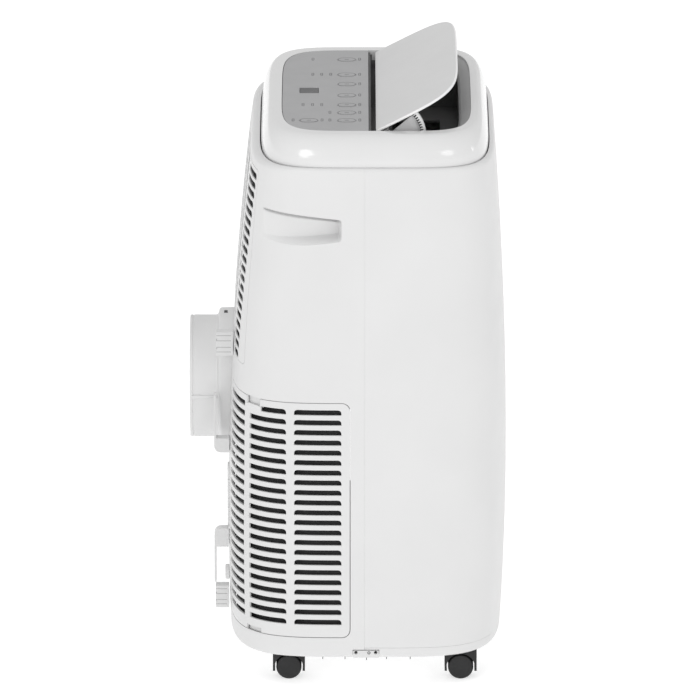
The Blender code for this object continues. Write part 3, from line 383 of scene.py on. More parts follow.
def skin(name, surface, outer, holes, material, thickness=WALL, radius=0.0006, grid=((), ()), steps=3,
         back=0.0, extra=(), kept_clear=(), edge_material=None):
    """A closed sheet on a surface, bounded by loops in (s, v), with rounded edges and see-through holes.

    grid gives the columns and rows of points inside it, extra gives points of its own for the areas in
    kept_clear, and back is the radius of its rear edge.
    """
    front_loops = [grown(outer, -radius), *[grown(hole, radius) for hole in holes]]
    clearance = 1.6 * radius + 0.0004
    inner = lattice(outer, [*holes, *kept_clear], *grid, clearance) if len(grid[0]) else np.zeros((0, 2))
    extra = np.concatenate([inner, extra]) if len(extra) else inner
    flat, faces = triangulate(front_loops[0], front_loops[1:], extra)
    s, v = flat[:, 0], flat[:, 1]
    place, normal = surface(s, v), normals(surface, s, v)
    build = Build()
    build.add(place, faces, normal[faces])
    behind = place - normal * thickness
    start = 0
    for loop, outward in [(outer, 1.0), *[(hole, -1.0) for hole in holes]]:
        rings = edge_rings(surface, loop, outward, radius, thickness, steps, back)
        add_edge(build, rings, outward)
        behind[start : start + len(loop)] = rings[-1][0]
        start += len(loop)
    build.add(behind, faces[:, ::-1], -normal[faces[:, ::-1]])
    sheet = build.make(name, material)
    if edge_material is not None:
        paint_edges(sheet, len(faces), edge_material)
    return sheet


def mirrored(loop):
    """A loop of the rear casing's left half, for its right half."""
    return np.stack([2 * TO_MIDDLE[REAR] - loop[:, 0], loop[:, 1]], axis=1)[::-1]


def steps_between(low, high, longest):
    """Even values from low to high, no further apart than longest."""
    return np.linspace(low, high, max(2, int(math.ceil((high - low) / longest)) + 1))


# ---------------------------------------------------------------- materials


def new_nodes(name):
    material = bpy.data.materials.new(name)
    material.use_nodes = True
    tree = material.node_tree
    return material, tree, tree.nodes["Principled BSDF"]


def set_inputs(node, values):
    for socket, value in values.items():
        node.inputs[socket].default_value = value


def textured(tree, kind, values):
    """A texture that is fixed to the piece."""
    place = tree.nodes.new("ShaderNodeTexCoord")
    texture = tree.nodes.new(kind)
    set_inputs(texture, values)
    tree.links.new(place.outputs["Object"], texture.inputs["Vector"])
    return texture


def noise(tree, scale, detail=3.0):
    return textured(tree, "ShaderNodeTexNoise", {"Scale": scale, "Detail": detail}).outputs["Fac"]


def between(tree, fac, low, high):
    """A number that goes from low to high over the middle of a noise."""
    spread = tree.nodes.new("ShaderNodeMapRange")
    set_inputs(spread, {"From Min": 0.3, "From Max": 0.7, "To Min": low, "To Max": high})
    tree.links.new(fac, spread.inputs["Value"])
    return spread.outputs["Result"]


def tones(tree, fac, first, second):
    """A colour that goes from one tone to another."""
    mix = tree.nodes.new("ShaderNodeMix")
    mix.data_type = "RGBA"
    set_inputs(mix, {"A": (*first, 1.0), "B": (*second, 1.0)})
    tree.links.new(fac, mix.inputs["Factor"])
    return mix.outputs["Result"]


def raised(tree, shader, height, distance, under=None):
    """Bumps the shader's surface by a height."""
    bump = tree.nodes.new("ShaderNodeBump")
    set_inputs(bump, {"Strength": 1.0, "Distance": distance})
    tree.links.new(height, bump.inputs["Height"])
    if under is not None:
        tree.links.new(under, bump.inputs["Normal"])
    tree.links.new(bump.outputs["Normal"], shader.inputs["Normal"])
    return bump.outputs["Normal"]


def moulded(name, colour, rough, grain=2600.0, depth=0.00001, spread=0.03, coat=0.0, metal=0.0):
    """Moulded plastic or sheet metal, faintly clouded and finely grained. A colour may be one grey level."""
    material, tree, shader = new_nodes(name)
    colour = (colour,) * 3 if isinstance(colour, float) else colour
    dark = tuple(c * (1 - spread) for c in colour)
    cloud = between(tree, noise(tree, 9.0, 4.0), 0.0, 1.0)
    tree.links.new(tones(tree, cloud, dark, colour), shader.inputs["Base Color"])
    patch = noise(tree, 34.0, 5.0)
    tree.links.new(between(tree, patch, rough * 0.88, rough * 1.12), shader.inputs["Roughness"])
    set_inputs(shader, {"Metallic": metal, "Coat Weight": coat, "Coat Roughness": 0.06})
    wave = raised(tree, shader, noise(tree, 60.0, 2.0), 0.00004)
    raised(tree, shader, noise(tree, grain, 2.0), depth, wave)
    return material


def gridded(name, light, dark, scale, axes, rough=0.7, metal=0.0, depth=0.0003):
    """Crossed or single threads: bands along each listed axis, for a filter's weave or a coil's fins."""
    material, tree, shader = new_nodes(name)
    height = None
    for axis in axes:
        band = textured(tree, "ShaderNodeTexWave", {"Scale": scale, "Distortion": 0.15})
        band.bands_direction = axis
        if height is None:
            height = band.outputs["Fac"]
            continue
        most = tree.nodes.new("ShaderNodeMath")
        most.operation = "MAXIMUM"
        tree.links.new(height, most.inputs[0])
        tree.links.new(band.outputs["Fac"], most.inputs[1])
        height = most.outputs[0]
    tree.links.new(tones(tree, height, dark, light), shader.inputs["Base Color"])
    patch = noise(tree, 30.0)
    tree.links.new(between(tree, patch, rough * 0.85, rough * 1.15), shader.inputs["Roughness"])
    set_inputs(shader, {"Metallic": metal})
    raised(tree, shader, height, depth)
    return material


WHITE = moulded("white_casing", 0.72, 0.42)
GLOSS = moulded("gloss_white_ring", 0.735, 0.16, depth=0.000002, coat=0.4)
FLAP = moulded("flap_grey", 0.69, 0.45)
# Grey that stands for shade: the white sill and the thin strips round the back fittings carry it as painted
# shade.
SHADE_GREY = moulded("painted_shade_grey", 0.42, 0.50)
SILVER = moulded("silver_film", (0.396, 0.396, 0.401), 0.40, grain=5200.0, metal=0.15)
LENS = moulded("display_lens", (0.056, 0.056, 0.059), 0.30, depth=0.000001)
# Dark film for printed signs and dashes, also used as painted shade for the key outlines.
INK_AND_SHADE = moulded("print_and_painted_shade", (0.10, 0.10, 0.105), 0.5)
# The gear's white plastic made brighter than the casing's white, as painted light against the flap's shade.
GEAR_PAINTED_LIGHT = moulded("gear_white_painted_light", 0.82, 0.35)
# A brighter copy of the white plastic for the flap's rims and the gear's teeth: painted highlight.
EDGE_HIGHLIGHT = moulded("edge_painted_highlight", 0.88, 0.40)
# Dark grey of the outlet well's liner, also used as painted shade on the seam plates' rings.
WELL_AND_SHADE = moulded("well_grey_and_painted_shade", (0.160, 0.160, 0.162), 0.60, spread=0.1)
BLACK = moulded("black_caster", (0.008, 0.008, 0.0085), 0.55, depth=0.00002, spread=0.2)
# Near black of the inner parts, also used as painted shade on the foot ribs, in the gear's tooth gaps and at
# the adaptor's latch hole.
DARK_AND_SHADE = moulded("dark_interior_and_painted_shade", (0.030, 0.030, 0.031), 0.55, spread=0.2)
STEEL = moulded("zinc_steel", (0.55, 0.55, 0.54), 0.35, spread=0.1, metal=0.9)
# Near black that paints the sunk screw heads as shade in their holes.
SCREW_SHADE = moulded("screw_painted_shade", 0.004, 0.9, spread=0.1)
PAINT = moulded("painted_steel", (0.035, 0.035, 0.038), 0.3, spread=0.15, coat=0.3)
COPPER = moulded("copper_pipe", (0.62, 0.30, 0.17), 0.32, spread=0.15, metal=1.0)
BOARD = moulded("circuit_board", (0.03, 0.16, 0.06), 0.4, spread=0.3)
FINS = gridded("aluminium_fins", (0.62, 0.62, 0.63), (0.05, 0.05, 0.05), 180.0, ("X",), 0.35, 0.9)
MESH = gridded("filter_weave", (0.020, 0.020, 0.021), (0.004, 0.004, 0.004), 130.0, ("X", "Y", "Z"))


# ---------------------------------------------------------------- casing halves

# The grips, the pad behind the hooks, and the openings for the grilles, the cover, the duct and the drain.
GRIP_FRONT_Y, GRIP_FLOOR_Y, GRIP_END_Y = 0.0088, 0.0136, 0.1125
GRIP_DEPTH, GRIP_CEILING, GRIP_CORNER = 0.020, 0.0004, 0.0035
GRIP_CREASE, GRIP_CREASE_HEIGHT, GRIP_CREASE_SLOPE = 0.0024, 0.0015, 0.335
GRIP_TOP_Z, GRIP_TOP_SLOPE, GRIP_TOP_LIFT = 0.6600, 0.0117, -0.0008
GRIP_FOOT_Z, GRIP_FOOT_BOW = 0.6300, 0.0054
GRIP_RAMP, GRIP_RAMP_BOW = 0.0055, 0.0030
PAD_X, PAD_HALF_X = -0.105, 0.0115
PAD_LOW_Z, PAD_HIGH_Z, PAD_Y, PAD_EDGE = 0.186, 0.275, 0.1632, 0.0008
PAN_TOP_Z = 0.0562
GRILLE_FOOT_Z, GRILLE_TOP_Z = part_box("lower_grille_left")[0].z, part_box("lower_grille_left")[1].z
GRILLE_MIDDLE_Z, COVER_MIDDLE_Z = 0.24, 0.57
COVER_FOOT_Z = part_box("upper_filter_cover")[0].z - 0.0014
COVER_TOP_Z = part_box("upper_filter_cover")[1].z - 0.0060
COVER_LOW_X, COVER_HIGH_X, COVER_NOTCH_X, COVER_NOTCH_Z = 0.1845, 0.1904, 0.1186, 0.4720
GRILLE_EDGE_Y, GRILLE_END_X = -0.0027, 0.118
DUCT_Z, FLANGE_RADIUS = 0.367, 0.0930
DRAIN_Z, DRAIN_RADIUS = 0.084, 0.0105
PLATE_FRONT_Y, PLATE_REAR_Y, PLATE_TOP_Z = -0.0418, -0.0066, 0.0534
PLATE_GAP, SCREW_RADIUS = 0.0014, 0.0022
RIB_Y = (0.034, 0.004, -0.025, -0.052, -0.084)
# Printed signs: their size, and how far in Y each one stands from the middle of its key.
MARK_SIZE = (0.0034, 0.0115)
MARK_COLUMNS = {
    "key_1": (-0.0175, 0.0460),
    "key_2": (-0.0175, 0.0217, 0.0340, 0.0460),
    "key_3": (-0.0175,),
    "key_4": (-0.0175,),
    "key_5": (-0.0175, 0.0336, 0.0460, 0.0587),
    "key_6": (-0.0175, 0.0225),
    "key_7": (-0.0175, 0.0225, 0.0330),
    "key_power": (0.0210,),
}


def ramp(x):
    """The value held between 0 and 1."""
    return np.clip(x, 0.0, 1.0)


def grip_edges(y):
    """Foot and top of the hand grip along it, and how high its floor climbs."""
    t = ramp((y - GRIP_FRONT_Y) / (GRIP_END_Y - GRIP_FRONT_Y))
    near = np.clip(GRIP_CORNER - (y - GRIP_FRONT_Y), 0.0, GRIP_CORNER)
    corner = GRIP_CORNER - np.sqrt(GRIP_CORNER**2 - near**2)
    top = GRIP_TOP_Z + GRIP_TOP_SLOPE * t + GRIP_TOP_LIFT * t**3 - corner
    foot = GRIP_FOOT_Z - GRIP_FOOT_BOW * np.sin(math.pi * t**1.15) + corner
    return foot, top, GRIP_RAMP + GRIP_RAMP_BOW * np.sin(math.pi * t)


def grip_back(y):
    """How deep the hand grip's back lies along it: down a steep front wall, then fading out to the rear."""
    along = ramp((y - GRIP_FRONT_Y) / (GRIP_FLOOR_Y - GRIP_FRONT_Y))
    return GRIP_DEPTH * along * ramp((GRIP_END_Y - y) / (GRIP_END_Y - GRIP_FLOOR_Y)) ** 0.7


def crease_height(y):
    """Height of the finger crease under the grip's top edge, which grows with the grip's depth."""
    return GRIP_CREASE_HEIGHT + GRIP_CREASE_SLOPE * grip_back(y)


def grip_depth(y, z):
    """How far the hand grip sinks in: a flat back over a sloping floor, with a crease under the top edge."""
    foot, top, climb = grip_edges(y)
    back = grip_back(y)
    crease = GRIP_CREASE * ramp((z - top + crease_height(y)) / GRIP_CEILING) * ramp(back / 0.002)
    return ramp((top - z) / GRIP_CEILING) * (back * ramp((z - foot) / climb) + crease)


def rear_surface(s, v):
    """The rear casing with its two hand grips and the raised pad behind the cord hooks."""
    point = casing_point(s, v, REAR)
    x, y, z = point[..., 0], point[..., 1], point[..., 2]
    beside = np.abs(x) > COVER_HIGH_X + 0.002
    point[..., 0] = x - np.where(beside, np.sign(x) * grip_depth(y, z), 0.0)
    on_pad = ramp((PAD_HALF_X - np.abs(x - PAD_X)) / PAD_EDGE) * (y > 0.1)
    on_pad = on_pad * ramp((z - PAD_LOW_Z) / PAD_EDGE) * ramp((PAD_HIGH_Z - z) / PAD_EDGE)
    point[..., 1] = y + on_pad * (PAD_Y - y)
    return point


def front_surface(s, v):
    return casing_point(s, v, FRONT)


def grip_lattice():
    """Points that follow the edges of the left hand grip, and the loop of the area they cover."""
    walls = np.array([-0.004, -0.002, -0.0006, 0, 0.0006, 0.0015, 0.0025, 0.0035, 0.0048, 0.0055])
    back = steps_between(GRIP_FLOOR_Y + 0.003, GRIP_END_Y + 0.004, 0.0022)
    y = np.concatenate([GRIP_FRONT_Y + walls, back])
    foot, top, climb = grip_edges(y)
    rows = [foot - gap for gap in (0.005, 0.0025, 0.001, 0.0003, 0.0)]
    rows += [foot + climb * share for share in (0.1, 0.35, 0.65, 0.9, 1.0, 1.12)]
    flat = foot + climb * 1.12
    height = crease_height(y)
    rows += [flat + (top - height - flat) * share for share in (0.12, 0.3, 0.5, 0.7, 0.88, 1.0)]
    rows += [top - height + GRIP_CEILING, top - GRIP_CEILING - (height - 2 * GRIP_CEILING) / 2]
    rows += [top - GRIP_CEILING, top - GRIP_CEILING / 2, top, top + 0.0004, top + 0.0015, top + 0.0035]
    known_s = np.linspace(0.0, TO_MIDDLE[REAR], 400)
    known_y = wall_point(known_s, np.full_like(known_s, 0.65), REAR)[:, 1]
    s = np.interp(y, known_y, known_s)
    points = np.concatenate([np.stack([s, row], axis=1) for row in rows])
    cover = rounded(s[0] - 0.001, rows[0].min() - 0.001, s[-1] + 0.001, rows[-1].max() + 0.001, 0.001)
    return points, cover


def pad_lattice():
    """Points that follow the edges of the pad behind the hooks, and the loop of the area they cover."""
    beside = np.array([0.005, PAD_HALF_X - PAD_EDGE, PAD_HALF_X, PAD_HALF_X + 0.001])
    across = TO_MIDDLE[REAR] - PAD_X + np.concatenate([-beside[::-1], beside])
    low, high = PAD_LOW_Z, PAD_HIGH_Z
    up = [low - 0.001, low, low + PAD_EDGE, high - PAD_EDGE, high, high + 0.001]
    points = np.array([(s, v) for s in across for v in [*up, *np.linspace(low + 0.01, high - 0.01, 8)]])
    return points, rounded(across[0] - 0.001, up[0] - 0.001, across[-1] + 0.001, up[-1] + 0.001, 0.0005)


def circle(centre_s, centre_v, radius, steps=72):
    angle = full_turn(steps)
    return np.stack([centre_s + radius * np.cos(angle), centre_v + radius * np.sin(angle)], axis=1)


def lip_top():
    """v of the highest line of the rounded lip."""
    return RIM_Z - LIP_RADIUS + LIP_RADIUS * math.pi / 2


def foot_v():
    """v of a wall's lowest edge, past its tucked-in foot."""
    return FOOT_Z + FOOT_RADIUS - FOOT_RADIUS * math.pi / 2


def grille_window():
    """Loop of the left lower grille."""
    edge = rear_s("side", GRILLE_EDGE_Y, GRILLE_MIDDLE_Z)
    end = rear_s("back", GRILLE_END_X, GRILLE_MIDDLE_Z)
    return rounded(edge, GRILLE_FOOT_Z, end, GRILLE_TOP_Z, 0.011, 7)


def cover_window():
    """Loop of the upper filter cover, stepped over the hose adaptor."""
    middle = TO_MIDDLE[REAR]
    side = middle - rear_s("back", COVER_LOW_X, COVER_MIDDLE_Z)
    outer = rounded(middle - side, COVER_FOOT_Z, middle + side, COVER_TOP_Z, 0.007, 6)
    step = np.array([(middle - COVER_NOTCH_X, COVER_FOOT_Z), (middle - COVER_NOTCH_X, COVER_NOTCH_Z)])
    back = np.array([(middle + COVER_NOTCH_X, COVER_NOTCH_Z), (middle + COVER_NOTCH_X, COVER_FOOT_Z)])
    loop = np.concatenate([outer[:6], step, back, outer[6:]])
    return widened(split_long(loop, 0.008))


def widened(loop):
    """A loop of the upper cover, whose sides spread a little towards its top."""
    low, high = (TO_MIDDLE[REAR] - rear_s("back", x, COVER_MIDDLE_Z) for x in (COVER_LOW_X, COVER_HIGH_X))
    from_middle = loop[:, 0] - TO_MIDDLE[REAR]
    rise = (loop[:, 1] - COVER_FOOT_Z) / (COVER_TOP_Z - COVER_FOOT_Z)
    spread = (high - low) * rise * ramp((np.abs(from_middle) - COVER_NOTCH_X) / 0.05)
    return np.stack([loop[:, 0] + np.sign(from_middle) * spread, loop[:, 1]], axis=1)


def shell_loop(end, foot, top=None):
    """Outer loop of a casing half up to its lip, notched at its two lower corners for the screw plates."""
    top = lip_top() if top is None else top
    low, high = SEAM_GAP, 2 * TO_MIDDLE[end] - SEAM_GAP
    reach = abs((PLATE_REAR_Y if end == REAR else PLATE_FRONT_Y) - SEAM_Y) + 0.0003
    notch = PLATE_TOP_Z + 0.0003
    corners = [(low, notch), (reach, notch), (reach, foot), (high - reach, foot)]
    corners += [(high - reach, notch), (high, notch), (high, top), (low, top)]
    if foot > notch:
        corners = [(low, foot), (high, foot), (high, top), (low, top)]
    return split_long(np.array(corners), 0.006)


def shell_columns(end):
    """s of a shell's lattice, clear of its two seams."""
    return steps_between(0.003, 2 * TO_MIDDLE[end] - 0.003, 0.009)


def shell_rows():
    """v of a shell's lattice: even up the wall, fine round the lip and the foot."""
    foot = [FOOT_Z + FOOT_RADIUS * share for share in (-0.35, -0.1, 0.2, 0.5, 0.8, 1.0)]
    lip = RIM_Z - LIP_RADIUS + LIP_RADIUS * np.linspace(0.0, math.pi / 2, 8)
    return [*foot, *steps_between(0.055, RIM_Z - LIP_RADIUS - 0.004, 0.013), *lip]


def ride_as(obj, *nodes, slot="white_plastic", body="casing"):
    """The piece rides on a body and stands for CAD nodes; slot is not used."""
    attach(obj, body)
    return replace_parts(obj, *nodes) if nodes else obj


def casing_halves():
    outer = shell_loop(FRONT, PAN_TOP_Z + 0.0002)
    shape = {"radius": SEAM_RADIUS, "grid": (shell_columns(FRONT), shell_rows())}
    front = skin("front_shell_surface", front_surface, outer, [], WHITE, **shape)
    ride_as(front, "front_shell")

    middle = TO_MIDDLE[REAR]
    play = 0.0003
    left = grown(split_long(grille_window(), 0.008), 0.0006)
    cover = grown(cover_window(), 0.0002)
    duct, drain = (middle, DUCT_Z, FLANGE_RADIUS + play), (middle, DRAIN_Z, DRAIN_RADIUS + play, 28)
    holes = [left, mirrored(left), cover, circle(*duct), circle(*drain)]
    grip, grip_area = grip_lattice()
    pad, pad_area = pad_lattice()
    shape["grid"] = (shell_columns(REAR), shell_rows())
    shape["extra"] = np.concatenate([grip, mirrored(grip), pad])
    shape["kept_clear"] = [grip_area, mirrored(grip_area), pad_area]
    outer = shell_loop(REAR, foot_v() + 0.001)
    rear = skin("rear_shell_surface", rear_surface, outer, holes, WHITE, **shape)
    ride_as(rear, "rear_shell")


# ---------------------------------------------------------------- lofts


def loft(name, rings, material, closed=True, capped=False, sharp_deg=35):
    """A surface through successive rings of points, smooth but for its sharp turns."""
    count, points = len(rings[0]), np.concatenate(rings)
    faces = []
    for ring in range(len(rings) - 1):
        for k in range(count if closed else count - 1):
            a, b = ring * count + k, ring * count + (k + 1) % count
            faces.append((a, b, b + count, a + count))
    if capped:
        last = (len(rings) - 1) * count
        faces += [tuple(range(count))[::-1], tuple(range(last, last + count))]
    mesh = smooth_mesh(name, points, faces, material)
    mesh.set_sharp_from_angle(angle=math.radians(sharp_deg))
    return linked(name, mesh)


def superellipse(half_x, front_y, rear_y, power, z, steps=160):
    """A level superellipse ring, anticlockwise from above, spaced evenly by length."""
    turn = np.linspace(0.0, 2 * math.pi, 1441)
    cos, sin = np.cos(turn), np.sin(turn)
    x = half_x * np.sign(cos) * np.abs(cos) ** (2 / power)
    y = (front_y + rear_y) / 2 + (rear_y - front_y) / 2 * np.sign(sin) * np.abs(sin) ** (2 / power)
    length = np.concatenate([[0.0], np.cumsum(np.hypot(np.diff(x), np.diff(y)))])
    at = np.linspace(0.0, length[-1], steps + 1)[:-1]
    return np.stack([np.interp(at, length, x), np.interp(at, length, y), np.full(steps, z)], axis=1)


def turned(name, profile, centre, axis, material, steps=64):
    """A solid of revolution about an axis through centre, from pairs of (radius, place along the axis)."""
    angle = full_turn(steps)
    order = {"x": (2, 0, 1), "y": (1, 2, 0), "z": (0, 1, 2)}[axis]
    rings = []
    for radius, along in profile:
        flat = np.stack([radius * np.cos(angle), radius * np.sin(angle), np.full(steps, along)], axis=1)
        rings.append(flat[:, order] + np.array(centre))
    return loft(name, rings, material)


def softened(node, width, material, segments=3, angle=30):
    """A CAD node that keeps its shape and gets rounded edges and its finish."""
    obj = frame["nodes"][node]
    weld = obj.modifiers.new("weld", "WELD")
    weld.merge_threshold = 1e-5
    bevel = obj.modifiers.new("edges", "BEVEL")
    bevel.width, bevel.segments, bevel.limit_method = width, segments, "ANGLE"
    bevel.angle_limit = math.radians(angle)
    bevel.harden_normals = True
    painted(node, material)


def painted(node, material):
    obj = frame["nodes"][node]
    obj.data.materials.clear()
    obj.data.materials.append(material)


# ---------------------------------------------------------------- foot tray


def base_tray():
    """The tray's skirt, which shows in front, its rim behind, and its floor."""
    rows = [*(FOOT_Z + FOOT_RADIUS * np.array([-0.3, 0.0, 0.25, 0.5, 0.75, 1.0])), 0.054]
    outer, grid = shell_loop(FRONT, foot_v() + 0.001, PAN_TOP_Z), (shell_columns(FRONT), rows)
    skirt = skin("base_tray_skirt", front_surface, outer, [], WHITE, radius=0.0003, grid=grid)
    ride_as(skirt, "base_pan")

    half_x, middle, half_y, power = (float(value) for value in plan_shape(FOOT_Z + FOOT_RADIUS))
    rings = []
    for inset, lift in ((0.009, 0.008), (0.009, 0.0022), (0.0072, 0.0006), (0.0085, 0.0), (0.020, 0.0)):
        front, rear = middle - half_y + inset, middle + half_y - inset
        rings.append(superellipse(half_x - inset, front, rear, power, TRAY_Z + lift))
    for k in (0.6, 0.2):
        rings.append(superellipse(half_x * k, middle - half_y * k, middle + half_y * k, 3.0, TRAY_Z))
    tray = loft("base_tray_floor", rings, WHITE, capped=True)
    ride_as(tray, "base_pan")


def foot_ribs():
    """Short stiffening ribs that peep out under the tray's edge, coloured dark as painted shade under the
    body.
    """
    half_x = float(plan_shape(FOOT_Z)[0])
    for side, word in SIDES:
        for k, y in enumerate(RIB_Y):
            size = (0.007, 0.0010, 0.0050 if k == 2 else 0.0036)
            middle = (side * (half_x - 0.0085), y, FOOT_Z - size[2] / 2 + 0.0006)
            # The ribs are white plastic; their dark colour is painted shade.
            ride_as(block(f"foot_rib_{word}_{k + 1}", middle, size, 0.0004, DARK_AND_SHADE), "base_pan")


def block(name, middle, size, radius, material):
    """A block with rounded edges: a rounded rectangle raised in steps."""
    half = np.array(size) / 2
    rings = []
    for turn in arc_steps(4):
        inset, drop = radius * (1 - math.sin(turn)), radius * (1 - math.cos(turn))
        rings.append((inset, half[2] - drop))
    rings += [(inset, -height) for inset, height in reversed(rings)]
    out = []
    for inset, z in rings:
        x, y = half[0] - inset, half[1] - inset
        loop = rounded(-x, -y, x, y, max(radius - inset * 0.5, 1e-5), 4)
        out.append(np.column_stack([loop, np.full(len(loop), z)]) + np.array(middle))
    return loft(name, out[::-1], material, capped=True)


def side_surface(side, inset=0.0018):
    """The casing's side, set in a little, as a function of (distance from the seam, z)."""

    def surface(u, v):
        half_x, middle, half_y, power = plan_shape(v)
        y = SEAM_Y + side * u
        x = half_x * (1 - np.abs((y - middle) / half_y) ** power) ** (1 / power) - inset
        return np.stack([side * x, y, v + 0 * x], axis=-1)

    return surface


def seam_plates():
    """The small plates at the seams' feet, each with two screws and a moulded ring between them; the ring is
    coloured dark grey as painted shade.
    """
    for (side, word), names in zip(SIDES, ((1, 2), (3, 4))):
        ends = sorted(side * (y - SEAM_Y) for y in (PLATE_FRONT_Y, PLATE_REAR_Y))
        outer = split_long(rounded(ends[0], FOOT_Z + 0.0002, ends[1], PLATE_TOP_Z - PLATE_GAP, 0.0010), 0.006)
        middles = [placed(f"casing_screw_{k}")[0] for k in names]
        holes = [circle(side * (m.y - SEAM_Y), m.z, SCREW_RADIUS + 0.0001, 24) for m in middles]
        plate = skin(f"seam_plate_{word}", side_surface(side), outer, holes, WHITE, 0.004, 0.0003)
        ride_as(plate, "base_pan")
        front, rear = sorted(m.y for m in middles)
        ring_s = side * (front * 0.66 + rear * 0.34 - SEAM_Y)
        rim, bore = (circle(ring_s, middles[0].z - 0.0003, radius, 24) for radius in (0.0021, 0.0012))
        # The moulded ring's dark grey is painted shade round its edge.
        ring = skin(f"plate_ring_painted_shade_{word}", side_surface(side, 0.0013), rim, [bore], WELL_AND_SHADE, 0.0010, 0.0001)
        ride_as(ring, "base_pan")
        for k, m in zip(names, middles):
            screw_head(f"screw_head_{k}", (side * (HALF_WIDTH - 0.0072), m.y, m.z), side, f"casing_screw_{k}")


def screw_head(name, place, side, node):
    """A sunk pan head with a cross recess, coloured near black as painted shade in its hole."""
    steps = 24
    angle = full_turn(steps)
    cross = 0.00045 + 0.00055 * np.abs(np.cos(2 * angle)) ** 6
    rings = []
    for share, depth in ((1.0, -0.003), (1.0, 0.0), (0.84, 0.0004), (None, 0.0005), (None, -0.0008)):
        reach = cross if share is None else np.full(steps, SCREW_RADIUS * share)
        x = np.full(steps, side * depth)
        ring = np.stack([x, -side * reach * np.cos(angle), reach * np.sin(angle)], axis=1)
        rings.append(ring[:: int(side)] if side < 0 else ring)
    head = loft(name, [ring + np.array(place) for ring in rings], SCREW_SHADE, capped=True)
    ride_as(head, node, slot="zinc_steel")


# ---------------------------------------------------------------- grilles and filters

SLOT_HEIGHT = 0.0073
SLOT_FIRST_Z, SLOT_LAST_Z, SLOT_ROWS = 0.0926, 0.3903, 22
COVER_FIRST_Z, COVER_LAST_Z, COVER_ROWS, COVER_SLOT_HEIGHT = 0.4491, 0.7049, 20, 0.0086
COVER_COLUMNS = ((-1, -0.126), (-0.112, -0.052), (-0.040, 0.040), (0.052, 0.112), (0.126, 1))
COVER_SLOT_LOW_X, COVER_SLOT_HIGH_X = 0.161, 0.185


def slot_loop(start, end, z, height, round_start=True, round_end=True):
    """A slot with a flat foot: rounded upper corners where it is asked for, and square ones elsewhere."""
    big, small = height * 0.62, height * 0.08
    radii = (small, small, big if round_end else small, big if round_start else small)
    return split_long(cornered(start, z - height / 2, end, z + height / 2, radii), 0.010)


def notched(loop, first_s, second_s, edge_z, depth):
    """The grille's loop with a finger notch cut down into its top edge, or up into its foot (depth < 0)."""
    cut = [(first_s, edge_z), (first_s, edge_z - depth), (second_s, edge_z - depth), (second_s, edge_z)]
    first = [k for k, p in enumerate(loop) if abs(p[1] - edge_z) < 1e-6][0]
    return np.concatenate([loop[: first + 1], np.array(cut), loop[first + 1 :]])


def sheet_grid(outer, column, foot_z, top_z, row):
    """Columns and rows of a slotted sheet's lattice."""
    low, high = outer[:, 0].min() + 0.003, outer[:, 0].max() - 0.003
    return steps_between(low, high, column), steps_between(foot_z + 0.004, top_z - 0.004, row)


def lower_grille(word, side):
    z = (SLOT_FIRST_Z + SLOT_LAST_Z) / 2
    columns = (
        (rear_s("side", 0.0089, z), rear_s("side", 0.0725, z), True, True),
        (rear_s("side", 0.0833, z), rear_s("side", 0.1335, z), True, False),
        (rear_s("side", 0.1404, z), rear_s("back", 0.128, z), False, True),
    )
    notch = (rear_s("side", 0.1195, z), rear_s("side", 0.1370, z))
    foot_notch = (rear_s("side", 0.1180, 0.08), rear_s("side", 0.1360, 0.08))
    outer = notched(grille_window(), *notch[::-1], GRILLE_TOP_Z, 0.0100)
    outer = notched(outer, *foot_notch, GRILLE_FOOT_Z, -0.0060)
    outer = split_long(grown(outer, -0.0002), 0.008)
    holes = []
    for k, row_z in enumerate(np.linspace(SLOT_FIRST_Z, SLOT_LAST_Z, SLOT_ROWS)):
        for start, end, round_start, round_end in columns:
            if k == SLOT_ROWS - 1 and start < notch[0] < end:
                holes.append(slot_loop(start, notch[0] - 0.002, row_z, SLOT_HEIGHT, round_start, False))
                continue
            holes.append(slot_loop(start, end, row_z, SLOT_HEIGHT, round_start, round_end))
    loops = [outer, *holes]
    if side < 0:
        loops = [mirrored(loop) for loop in loops]
    grid = sheet_grid(loops[0], 0.006, GRILLE_FOOT_Z, GRILLE_TOP_Z, 0.00709)
    piece = skin(f"grille_{word}", rear_surface, loops[0], loops[1:], WHITE, 0.003, 0.0006, grid)
    ride_as(piece, f"lower_grille_{word}", body=f"{word}_grille")
    for label, (start, end), low, high in (
        ("top", notch, GRILLE_TOP_Z - 0.0125, GRILLE_TOP_Z + 0.001),
        ("foot", foot_notch, GRILLE_FOOT_Z - 0.001, GRILLE_FOOT_Z + 0.0085),
    ):
        notch_shelf(label, word, side, rounded(start - 0.003, low, end + 0.003, high, 0.001))


def notch_shelf(label, word, side, loop):
    """The pale ledge a little way behind a finger notch."""
    loop = split_long(loop, 0.006)
    loop = loop if side > 0 else mirrored(loop)

    def behind(s, v):
        return casing_point(s, v, REAR) + plan_inward(s, REAR) * 0.0042

    ledge = skin(f"grille_notch_{label}_{word}", behind, loop, [], WHITE, 0.0012, 0.0003)
    ride_as(ledge, f"lower_grille_{word}", body=f"{word}_grille")


